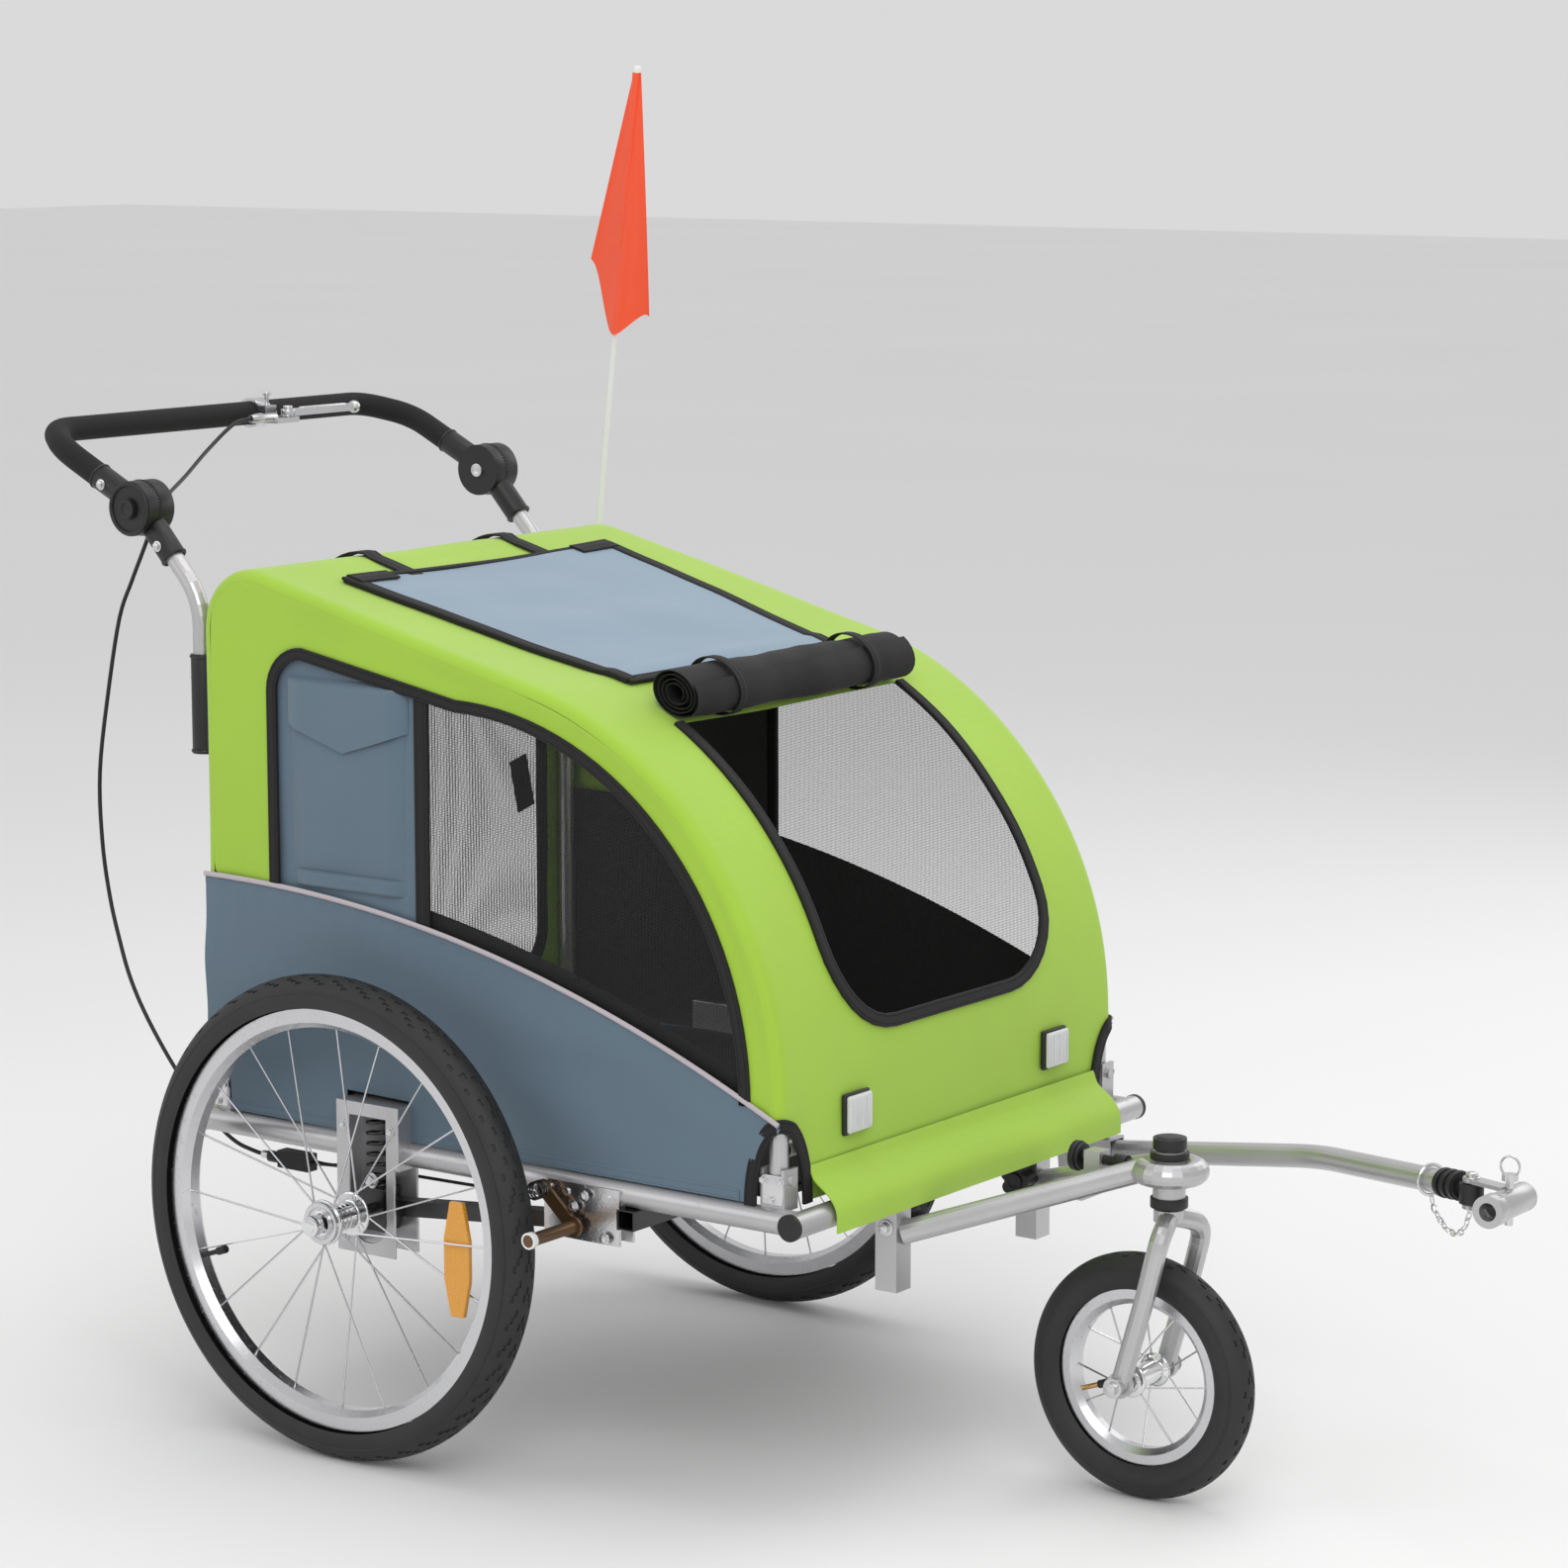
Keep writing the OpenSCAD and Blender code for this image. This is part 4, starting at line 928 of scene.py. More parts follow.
        self.declare(obj)

    def rear_loop(self, share: float, side: int) -> tuple[float, float]:
        """A point of the rear opening's edge.

        Args:
            share: 0 to 1 along one of its four sides, from the middle of one corner to the next.
            side: 0 for the top, then round by the right, the foot and the left.

        Returns:
            Y and Z.
        """
        h, r = self.rear_half, self.rear_r
        low, high = self.rear_low, self.rear_high
        corners = [(h - r, high - r), (-h + r, high - r), (-h + r, low + r), (h - r, low + r)]
        (y0, z0), (y1, z1) = corners[side], corners[(side + 1) % 4]
        start = math.pi / 4 + math.pi / 2 * side
        if share < 0.25:
            a = start + math.pi * share
            return y0 + r * math.cos(a), z0 + r * math.sin(a)
        if share > 0.75:
            a = start + math.pi / 4 + math.pi * (share - 0.75)
            return y1 + r * math.cos(a), z1 + r * math.sin(a)
        a, t = start + math.pi / 4, (share - 0.25) * 2
        return y0 + (y1 - y0) * t + r * math.cos(a), z0 + (z1 - z0) * t + r * math.sin(a)

    def rear_ring(self, ys: list[float], fall: list[float]) -> list[list[Vector]]:
        """The rear wall between the cover's edges and its netted opening, as rows outside in."""
        edge, top, end = ys[-1], fall[0], fall[-1]
        shares = [(edge - y) / (2 * edge) for y in reversed(ys)]
        drops = [(q - top) / (end - top) for q in fall]
        outer, inner = [], []
        for side, steps in enumerate((shares, drops, shares, drops)):
            for t in steps[:-1]:
                y, z = self.rear_loop(t, side)
                inner.append((y, end - (z - self.line.low_z)))
                outer.append(((edge - 2 * edge * t, top), (-edge, top + (end - top) * t),
                              (-edge + 2 * edge * t, end), (edge, end - (end - top) * t))[side])
        rows = []
        for k in range(6):
            row = [self.skin(b + (d - b) * k / 5, a + (c - a) * k / 5)
                   for (a, b), (c, d) in zip(outer, inner)]
            rows.append(row + row[:1])
        return rows

    def rear_window(self) -> None:
        """The net in the rear wall with its black binding and pull tab."""
        p = self.plan
        edge = [self.rear_loop(i / 16, side) for side in range(4) for i in range(16)]
        path = [Vector((p.rear_x - 0.0010, y, z)) for y, z in edge]
        strip = sweep(path, band_profile(0.030, 0.0040), True, [Vector((-1, 0, 0))] * len(path))
        settle(strip, "rear_binding", "black_cloth", "chassis")
        verts = []
        for r in range(31):
            z = self.rear_low + (self.rear_high - self.rear_low) * r / 30
            gap = max(0.0, self.rear_r - min(z - self.rear_low, self.rear_high - z))
            half = self.rear_half - self.rear_r + math.sqrt(max(0.0, self.rear_r ** 2 - gap * gap))
            for c in range(31):
                y = -half + 2 * half * c / 30
                wave = noise.noise(Vector((y * 6, z * 6, 8))) * 0.0012
                verts.append(Vector((p.rear_x + 0.0022 + wave, y, z)))
        net = from_mesh(verts, grid_faces(31, 31))
        settle(net, "rear_net", "mesh", "chassis", 60)
        self.declare(net)
        tab = [Vector((p.rear_x + 0.004, 0.208 + 0.014 * i / 8, 0.621 - 0.058 * i / 8)) for i in range(9)]
        settle(sweep(tab, band_profile(0.030, 0.003), normals=[Vector((1, 0, 0))] * 9), "rear_tab",
               "black_cloth", "chassis")

    def declare(self, obj: bpy.types.Object) -> None:
        """Works out the area of a cloth piece, halved when the mesh is closed, and does nothing with it."""
        area = sum(f.area for f in obj.data.polygons) / (2 if self.closed(obj) else 1)

    @staticmethod
    def closed(obj: bpy.types.Object) -> bool:
        """Whether a mesh has thickness, and so no open edge."""
        bm = bmesh.new()
        bm.from_mesh(obj.data)
        shut = all(len(e.link_faces) == 2 for e in bm.edges)
        bm.free()
        return shut

    def cut_corners(self, obj: bpy.types.Object) -> None:
        """Cuts a cloth piece free of the front feet of the hoops, with two egg-shaped cutters."""
        for side in (-1, 1):
            deselect()
            bpy.ops.mesh.primitive_uv_sphere_add(segments=48, ring_count=32, radius=1)
            cutter = bpy.context.object
            cutter.data.transform(Matrix.Translation((self.plan.front_x, side * self.plan.skin_y,
                                                      self.line.low_z - 0.001))
                                  @ Matrix.Diagonal((self.cut_x, self.cut_y, self.cut_z, 1)))
            modifier(obj, "BOOLEAN", operation="DIFFERENCE", solver="EXACT", object=cutter)
            bpy.data.objects.remove(cutter)

    def side_ring(self, side: int) -> list[list[Vector]]:
        """The side cloth between the outline and the window, as rows from the edge inwards."""
        front, arc, roof, corner, _ = self.line.spans
        window = self.line.window()
        foot = self.s_at_height(self.line.piping(self.plan.front_x))
        starts = [foot, front, front + arc, front + arc + roof, front + arc + roof + corner]
        rear_z = self.line.piping(self.plan.rear_x)
        ends = starts[1:] + [self.line.length - (rear_z - self.line.low_z)]
        y = side * self.plan.skin_y
        rows = []
        for k, (stretch, a, b) in enumerate(zip(window, starts, ends)):
            n = len(stretch)
            last = k == 4
            for i, (wx, wz) in enumerate(stretch):
                share = (i + 1) / n if last else i / n
                ox, oz = self.line.at(a + (b - a) * share, self.round_r)
                row = []
                for j in range(9):
                    t = j / 8
                    x, z = ox + (wx - ox) * t, oz + (wz - oz) * t
                    fold = noise.noise(Vector((x * 9, z * 9, side * 3.0))) * 0.0022 * math.sin(math.pi * t)
                    row.append(Vector((x, y - side * (0.0012 * math.sin(math.pi * t) + abs(fold)), z)))
                rows.append(row)
        return rows

    def lower_panel(self, side: int, name: str) -> None:
        """The slate lower side with its gathered folds, hem and piping."""
        p = self.plan
        rear, front = p.rear_x + 0.001, p.front_x - 0.003
        columns, rows = 96, 22
        low = p.rail_z + 0.0135
        verts = []
        for r in range(rows + 1):
            v = r / rows
            for c in range(columns + 1):
                x = rear + (front - rear) * c / columns
                top = self.line.piping(x)
                z = low + (top - low) * v
                u = c / columns
                belly = math.sin(math.pi * v) * 0.0025
                fold = math.sin((z - 0.33) * 60 + x * 14 + 3.0 * noise.noise(Vector((x * 4, z * 4, side)))) \
                    * 0.0046 * math.sin(math.pi * v) \
                    * (0.3 + 0.7 * abs(noise.noise(Vector((u * 4, v * 2, 9)))))
                pucker = math.sin(x * 240) * 0.0006 * v ** 6
                verts.append(Vector((x, side * (p.skin_y - 0.0008 + belly + fold * 0.8 + pucker), z)))
        faces = [f for f in grid_faces(rows + 1, columns + 1)
                 if not self.panel_gap(sum((verts[k] for k in f), Vector()) / 4)]
        obj = from_mesh(verts, faces)
        modifier(obj, "SOLIDIFY", thickness=self.cloth, offset=-side)
        self.cut_corners(obj)
        settle(obj, f"{name}_lower_panel", "grey_cloth", "chassis", 60)
        self.declare(obj)
        if side < 0:
            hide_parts("side_panels")
        self.lining(side, name, rear + 0.004, front - 0.038)
        points = [Vector((rear + (front - rear) * i / 60, side * (p.skin_y + 0.0022),
                          self.line.piping(rear + (front - rear) * i / 60))) for i in range(61)]
        cord = sweep(points, [(a * 1.0, b * 0.7) for a, b in ring_profile(0.0028, 10)],
                     normals=[Vector((0, side, 0))] * 61)
        settle(cord, f"{name}_piping", "piping", "chassis")
        flat = [q - Vector((0, side * 0.0014, 0.0062)) for q in points]
        tape = sweep(flat, band_profile(0.006, 0.001), normals=[Vector((0, side, 0))] * 61)
        settle(tape, f"{name}_piping_flange", "grey_cloth", "chassis")
        hem = [Vector((rear + 0.03 + (front - rear - 0.076) * i / 50, side * (p.skin_y + 0.0005),
                       low + 0.006)) for i in range(51)]
        for k, part in enumerate((hem[:13], hem[20:])):
            strip = sweep(part, band_profile(0.012, 0.003), normals=[Vector((0, side, 0))] * len(part))
            settle(strip, f"{name}_hem_{k + 1}", "grey_cloth", "chassis")

    def lining(self, side: int, name: str, rear: float, front: float) -> None:
        """The black inner face of the lower side, turned up behind the piping and the pocket panel."""
        p = self.plan
        verts = []
        for c in range(61):
            x = rear + (front - rear) * c / 60
            top = self.line.piping(x) + 0.016
            for r in range(11):
                z = p.rail_z + 0.018 + (top - p.rail_z - 0.018) * r / 10
                verts.append(Vector((x, side * (p.skin_y - 0.0095), z)))
        faces = [f for f in grid_faces(61, 11)
                 if not self.panel_gap(sum((verts[k] for k in f), Vector()) / 4)]
        settle(from_mesh(verts, faces), f"{name}_lower_lining", "black_cloth", "chassis", 60)
        x0, x1 = p.rear_x + self.line.window_rear - 0.012, p.rear_x + self.line.split
        top = self.line.arc_z + self.line.window_lift + self.line.window_r + self.line.window_rise
        verts = [Vector((x0 + (x1 - x0) * c / 12, side * (p.skin_y - 0.0100),
                         0.44 + (top - 0.44) * r / 12)) for c in range(13) for r in range(13)]
        settle(from_mesh(verts, grid_faces(13, 13)), f"{name}_pocket_lining", "black_cloth", "chassis", 60)

    def panel_gap(self, centre: Vector) -> bool:
        """Whether a point of the lower panel is in the cut-out of a hinge bracket or spring bracket."""
        p = self.plan
        spring = abs(centre.x - p.axle_x) < 0.042 and centre.z < p.rail_z + 0.052
        rear = centre.x < p.rear_x + 0.030 and centre.z < p.rail_z + 0.045
        return spring or rear

    def loop_strip(self, points: list[tuple[float, float]], side: int, width: float, name: str,
                   lift: float = 0.001) -> None:
        """A flat binding along a line drawn on the side."""
        y = side * (self.plan.skin_y + lift)
        path = [Vector((x, y, z)) for x, z in points]
        strip = sweep(path, band_profile(width, 0.0042), normals=[Vector((0, side, 0))] * len(path))
        settle(strip, name, "black_cloth", "chassis")

    def bindings(self, side: int, name: str) -> None:
        """Black binding round the window and the inner bands behind the net."""
        edge = [q for stretch in self.line.window(-0.005) for q in stretch]
        self.loop_strip(edge, side, 0.013, f"{name}_window_binding")
        split_x = self.plan.rear_x + self.line.split
        top = self.band_top(split_x)
        low = self.line.piping(split_x)
        band = [(split_x, top - (top - low) * i / 14) for i in range(15)]
        self.loop_strip(band, side, 0.018, f"{name}_inner_band", -0.0022)

    def band_top(self, x: float) -> float:
        """Height of the window's edge above a place along X."""
        cx, cz = self.line.arc_x + self.line.window_ahead, self.line.arc_z + self.line.window_lift
        r = self.line.window_r
        if x > cx:
            return cz + math.sqrt(max(0.0, r * r - (x - cx) ** 2))
        start = self.plan.rear_x + self.line.window_rear + self.line.window_corner
        return cz + r + self.line.window_rise * (cx - x) / (cx - start)

    def window(self, side: int, name: str) -> None:
        """The net of the side window, slightly slack."""
        left = self.plan.rear_x + self.line.split - 0.007
        columns = 34
        verts = []
        right = self.line.arc_x + self.line.window_ahead + self.line.window_r + 0.003
        for c in range(columns + 1):
            x = left + (right - left) * c / columns
            high = self.band_top(x) if c < columns else self.line.arc_z + self.line.window_lift
            low = self.line.piping(x) - 0.004
            for r in range(25):
                v = r / 24
                z = low + (max(high, low + 0.002) - low) * v
                slack = 0.004 * math.sin(math.pi * v) * math.sin(math.pi * c / columns)
                wave = noise.noise(Vector((x * 6, z * 6, 4.0 + side))) * 0.002 * math.sin(math.pi * v)
                verts.append(Vector((x, side * (self.plan.skin_y - 0.0035 - slack + wave), z)))
        net = from_mesh(verts, grid_faces(columns + 1, 25))
        settle(net, f"{name}_window_net", "mesh", "chassis", 60)
        self.declare(net)
        if side < 0:
            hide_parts("window_mesh")

    def pocket_panel(self, side: int, name: str) -> None:
        """The slate panel in the rear of the window, with a pocket, its flap and their seams."""
        p = self.plan
        left, right = p.rear_x + self.line.window_rear - 0.003, p.rear_x + self.line.split - 0.005
        top = self.line.arc_z + self.line.window_lift + self.line.window_r + self.line.window_rise
        y = p.skin_y - 0.0052
        verts = []
        for c in range(25):
            x = left + (right - left) * c / 24
            low = self.line.piping(x) - 0.004
            for r in range(41):
                z = low + (top - low) * r / 40
                rise = noise.noise(Vector((x * 12, z * 7, 2.2 + side))) * 0.003
                verts.append(Vector((x, side * (y + rise * math.sin(math.pi * r / 40)), z)))
        panel = from_mesh(verts, grid_faces(25, 41))
        modifier(panel, "SOLIDIFY", thickness=0.0012, offset=-side)
        settle(panel, f"{name}_pocket_panel", "grey_cloth", "chassis", 60)
        self.declare(panel)
        a, b = left + 0.030, right - 0.018
        self.patch(side, name, "pocket", (a, b, 0.580, 0.738), 0.0050, 0.0)
        self.patch(side, name, "pocket_flap", (a - 0.004, b + 0.004, 0.732, 0.778), 0.0095, 0.026)
        self.patch(side, name, "pocket_gusset", (a + 0.004, b - 0.004, 0.566, 0.581), 0.0060, 0.0)

    def patch(self, side: int, name: str, part: str, box: tuple[float, float, float, float],
              rise: float, point: float) -> None:
        """A cloth patch sewn on the pocket panel.

        Args:
            side: -1 for the right, 1 for the left.
            name: the side's name.
            part: the patch's name.
            box: its X and Z range.
            rise: how far its middle stands off the panel.
            point: how far the middle of its lower edge hangs below its corners.
        """
        x0, x1, z0, z1 = box
        y = self.plan.skin_y - 0.0050
        verts = []
        for c in range(29):
            u = c / 28
            x = x0 + (x1 - x0) * u
            dip = point * (1 - abs(2 * u - 1)) ** 0.9
            for r in range(21):
                v = r / 20
                z = z0 - dip + (z1 - z0 + dip) * v
                edge = min(u, 1 - u, v if not point else 1, 1 - v) * 9
                body = rise * min(1.0, max(0.0, edge)) ** 0.5
                seam = -0.0007 if 0.045 < min(u, 1 - u, 1 - v) < 0.075 else 0.0
                crease = noise.noise(Vector((x * 16, z * 16, rise * 900))) * 0.0022
                verts.append(Vector((x, side * (y + body + seam + crease * min(1.0, max(edge, 0))), z)))
        obj = from_mesh(verts, grid_faces(29, 21))
        modifier(obj, "SOLIDIFY", thickness=0.0011, offset=-side)
        settle(obj, f"{name}_{part}", "grey_cloth", "chassis", 60)
        self.declare(obj)

    def door_binding(self) -> None:
        """Black binding round the front opening."""
        path, normals = [], []
        for y, s in self.door_path():
            path.append(self.skin(s, y, 0.0015))
            normals.append(self.outward(s, y))
        strip = sweep(path, band_profile(0.014, 0.0046), normals=normals)
        settle(strip, "door_binding", "black_cloth", "chassis")

    def roof_panel(self) -> None:
        """The roof hatch with its bindings, zip ends and hook-and-loop tabs."""
        front, arc, roof, _, _ = self.line.spans
        s0, s1 = front + arc * 0.945, front + arc + roof * 0.86
        half_front, half_rear = self.roof_front_half, self.roof_rear_half
        rows, columns = 30, 30
        verts = []
        for r in range(rows + 1):
            u = r / rows
            half = half_front + (half_rear - half_front) * u
            for c in range(columns + 1):
                v = 2 * c / columns - 1
                fold = noise.noise(Vector((u * 5, v * 2, 3.3))) * 0.0024 + math.sin(u * 19 + v * 2) * 0.0007
                lift = 0.0035 + fold * (1 - v * v) + 0.0035 * (1 - v ** 2) * math.sin(math.pi * u)
                verts.append(self.skin(s0 + (s1 - s0) * u, v * half, lift))
        panel = from_mesh(verts, grid_faces(rows + 1, columns + 1))
        modifier(panel, "SOLIDIFY", thickness=0.0014, offset=1)
        settle(panel, "roof_panel", "roof_cloth", "chassis", 60)
        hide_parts("roof_hatch")
        self.declare(panel)
        for side in (-1, 1):
            path, normals = [], []
            for i in range(31):
                s = s0 + (s1 - s0) * i / 30
                half = half_front + (half_rear - half_front) * i / 30
                path.append(self.skin(s, side * half, 0.0040))
                normals.append(self.outward(s, 0))
            strip = sweep(path, band_profile(0.017, 0.005), normals=normals)
            settle(strip, f"roof_binding_{'right' if side < 0 else 'left'}", "black_cloth", "chassis")
        for k, s in enumerate((s0, s1)):
            half = (half_front, half_rear)[k] + 0.006
            path = [self.skin(s, -half + 2 * half * i / 24, 0.0042) for i in range(25)]
            normal = self.outward(s, 0)
            strip = sweep(path, band_profile(0.007 if k else 0.012, 0.0034), normals=[normal] * 25)
            settle(strip, f"roof_edge_{('front', 'rear')[k]}", "black_cloth", "chassis")
        for k, y in enumerate((-self.tab_y, self.tab_y)):
            s = s1 - 0.008
            path = [self.skin(s, y + 0.060 * (i / 6 - 0.5), 0.0068) for i in range(7)]
            normal = self.outward(s, y)
            tab = sweep(path, band_profile(self.webbing, 0.003), normals=[normal] * 7)
            settle(tab, f"roof_tab_{k + 1}", "black_cloth", "chassis")

    def straps(self) -> None:
        """Two webbing straps over the rear of the roof."""
        front, arc, roof, corner, _ = self.line.spans
        start, end = front + arc + roof * 0.84, front + arc + roof + corner + 0.030
        for k, y in enumerate((-self.strap_y, self.strap_y)):
            path, normals = [], []
            for i in range(22):
                s = start + (end - start) * i / 21
                path.append(self.skin(s, y, 0.0030))
                normals.append(self.outward(s, y))
            strap = sweep(path, band_profile(self.webbing, 0.0026), normals=normals)
            settle(strap, f"roof_strap_{k + 1}", "black_cloth", "chassis")

    def door_roll(self) -> None:
        """The door net rolled up above the opening: a spiral of cloth with slack, uneven turns."""
        radius = 0.0275
        half = self.door_half - 0.004
        top = self.s_at_height(self.door_top + 0.009)
        centre = self.skin(top, 0, radius * 0.9 + 0.0008)
        turns, per, rows = 4.2, 26, 61
        steps = round(turns * per)
        out = (centre - self.skin(top, 0)).normalized()
        along = Vector((out.z, 0, -out.x))
        verts = []
        for r in range(rows):
            y = -half + 2 * half * r / (rows - 1)
            wobble = noise.noise(Vector((y * 14, 0, 0))) * 0.0022
            for k in range(steps + 1):
                a = 2 * math.pi * k / per + y * 1.1
                reach = radius * (0.30 + 0.70 * k / steps) + wobble * k / steps \
                    + noise.noise(Vector((y * 30, a * 0.7, 5))) * 0.0012
                verts.append(centre + along * (reach * 1.16 * math.cos(a))
                             + out * (reach * 0.88 * math.sin(a)) + Vector((0, y, 0)))
        roll = from_mesh(verts, grid_faces(rows, steps + 1))
        modifier(roll, "SOLIDIFY", thickness=0.0008, offset=0)
        settle(roll, "rolled_door", "black_cloth", "chassis", 70)
        self.declare(roll)
        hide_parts("door_roll")
        for k, y in enumerate((-half * 0.62, half * 0.62)):
            hoop = [centre + along * ((radius * 1.16 + 0.0022) * math.cos(a)) + Vector((0, y, 0))
                    + out * ((radius * 0.88 + 0.0022) * math.sin(a))
                    for a in (2 * math.pi * i / 28 for i in range(28))]
            normals = [(q - centre - Vector((0, y, 0))).normalized() for q in hoop]
            tie = sweep(hoop, band_profile(0.014, 0.0018), True, normals)
            settle(tie, f"door_tie_{k + 1}", "black_cloth", "chassis")

    def floor_pad(self) -> None:
        """The padded floor with sewn channels."""
        low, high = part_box("floor_pad")
        columns, rows = 40, 34
        verts = []
        for c in range(columns + 1):
            u = c / columns
            for r in range(rows + 1):
                v = r / rows
                edge = min(1.0, min(u, 1 - u, v, 1 - v) * 14) ** 0.5
                channel = 0.55 + 0.45 * abs(math.sin(math.pi * u * 5))
                z = low.z + 0.002 + (high.z - low.z - 0.001) * edge * channel
                verts.append(Vector((low.x + (high.x - low.x) * u, low.y + (high.y - low.y) * v, z)))
        pad = from_mesh(verts, grid_faces(columns + 1, rows + 1))
        modifier(pad, "SOLIDIFY", thickness=0.002, offset=-1)
        settle(pad, "floor_cushion", "black_cloth", "chassis", 60)
        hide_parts("floor_pad")

    def skirt(self) -> None:
        """The green flap that falls from the foot of the front wall over the front cross tube."""
        p = self.plan
        half = p.skin_y - self.cut_y - 0.002
        fall = spline([(p.front_x + 0.0012, 0, 0.352), (p.front_x + 0.007, 0, 0.338),
                       (p.front_x + 0.024, 0, 0.325), (p.front_x + 0.0335, 0, 0.311),
                       (p.front_x + 0.0345, 0, 0.290)], 5)
        verts = []
        for c in range(61):
            y = -half + 2 * half * c / 60
            for q in fall:
                wave = noise.noise(Vector((y * 13, q.z * 8, 2.5))) * 0.0016 * (0.352 - q.z) / 0.06
                verts.append(Vector((q.x + wave, y, q.z)))
        flap = from_mesh(verts, grid_faces(61, len(fall)))
        modifier(flap, "SOLIDIFY", thickness=0.0012, offset=1)
        settle(flap, "front_skirt", "green_cloth", "chassis", 60)
        self.declare(flap)

    def corner_binding(self, side: int, name: str) -> None:
        """Black binding round the egg-shaped cut-out at one front corner."""
        p = self.plan
        low, turn = self.line.low_z, math.radians(71)
        front = [Vector((p.front_x + 0.0012, side * (p.skin_y - self.cut_y * math.cos(turn * i / 9)),
                         low + self.cut_z * math.sin(turn * i / 9))) for i in range(10)]
        across = [Vector((p.front_x - 0.0028, side * (p.skin_y - 0.0028), low + self.cut_z * 0.985))]
        flank = [Vector((p.front_x - self.cut_x * math.cos(turn * i / 9), side * (p.skin_y + 0.0016),
                         low + self.cut_z * math.sin(turn * i / 9))) for i in range(9, -1, -1)]
        curve = spline(front + across + flank, 4)
        normals = []
        for q in curve:
            reach = min(1.0, max(0.0, (p.front_x - q.x) / 0.010))
            normals.append(Vector((1 - reach, side * reach, 0)).normalized())
        strip = sweep(curve, band_profile(0.014, 0.0040), normals=normals)
        settle(strip, f"{name}_corner_binding", "black_cloth", "chassis")


# ---- wheels ----


@dataclass
class Wheel:
    """One wheel: tyre with its tread and side lines, and the valve."""

    side: str
    body: str
    tread_rows: int
    steps: int

    def build(self) -> None:
        """Makes the pieces of the wheel."""
        self.tyre()
        self.valve()

    def tyre(self) -> None:
        """Spins the tyre's section, then sinks the tread's sipes between raised blocks."""
        low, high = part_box(f"{self.side}_tyre")
        centre = (low + high) / 2
        outer, half = (high.z - low.z) / 2, (high.y - low.y) / 2
        mid = outer - half
        rim_low, rim_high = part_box(f"{self.side}_rim")
        bead = (rim_high.z - rim_low.z) / 2
        deselect()
        bpy.ops.mesh.primitive_circle_add(vertices=44, radius=half)
        obj = bpy.context.object
        bm = bmesh.new()
        bm.from_mesh(obj.data)
        for v in bm.verts:
            a = math.atan2(v.co.y, v.co.x)
            reach = half * (1.0 - 0.012 * abs(math.sin(2 * a)))
            v.co = Vector((mid + reach * math.cos(a), reach * math.sin(a), 0))
        gone = [v for v in bm.verts if v.co.x < bead - 0.0015]
        bmesh.ops.delete(bm, geom=gone, context="VERTS")
        bm.to_mesh(obj.data)
        bm.free()
        choose(obj)
        bpy.ops.object.mode_set(mode="EDIT")
        bpy.ops.mesh.select_all(action="SELECT")
        bpy.ops.mesh.spin(steps=self.steps, angle=2 * math.pi, center=(0, 0, 0), axis=(0, 1, 0))
        bpy.ops.mesh.select_all(action="SELECT")
        bpy.ops.mesh.remove_doubles(threshold=1e-6)
        bpy.ops.mesh.normals_make_consistent(inside=False)
        bpy.ops.mesh.select_mode(type="FACE")
        bpy.ops.mesh.select_all(action="DESELECT")
        bpy.ops.object.mode_set(mode="OBJECT")
        step = 2 * math.pi / self.steps
        for f in obj.data.polygons:
            c = f.center
            radial = math.hypot(c.x, c.z)
            across = math.atan2(c.y, radial - mid)
            row = round(abs(across) / (2 * math.pi / 44) - 0.5)
            turn = round(math.atan2(c.z, c.x) / step)
            shift = row + (1 if across > 0 else 0)
            f.select = row < self.tread_rows and (turn + shift * 1) % 4 == 0 and row not in (2,)
        bpy.ops.object.mode_set(mode="EDIT")
        bpy.ops.mesh.inset(thickness=0.0004, use_individual=False)
        bpy.ops.transform.shrink_fatten(value=-0.0013)
        bpy.ops.object.mode_set(mode="OBJECT")
        modifier(obj, "SOLIDIFY", thickness=0.0022, offset=-1)
        obj.data.transform(Matrix.Translation(centre))
        settle(obj, f"{self.side}_tyre_tread", "tyre", self.body, 30)
        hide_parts(f"{self.side}_tyre")
        for k, side in enumerate((-1, 1)):
            ridge_r = mid + half * 0.30
            y = centre.y + side * half * 0.935
            ring = [Vector((centre.x + ridge_r * math.cos(a), y, centre.z + ridge_r * math.sin(a)))
                    for a in (2 * math.pi * i / self.steps for i in range(self.steps))]
            line = sweep(ring, ring_profile(0.0011, 6), True)
            settle(line, f"{self.side}_tyre_line_{k + 1}", "tyre", self.body)

    def valve(self) -> None:
        """The valve: stem and cap, standing out of the rim."""
        low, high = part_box(f"{self.side}_rim")
        centre = (low + high) / 2
        inner = (high.z - low.z) / 2 - (0.018 if self.tread_rows > 4 else 0.013)
        a = math.radians(200)
        out = Vector((math.cos(a), 0, math.sin(a)))
        root = centre + out * inner
        stem = turned(0.0026, 0.030, root - out * 0.013, -out, 16, 0.0004)
        finish = "brass" if self.side == "front" else "black_plastic"
        settle(stem, f"{self.side}_valve_stem", finish, self.body)
        cap = turned(0.0042, 0.012, root - out * 0.028, -out, 12, 0.0012, 0.0014, 0.0006)
        settle(cap, f"{self.side}_valve_cap", "black_plastic", self.body)


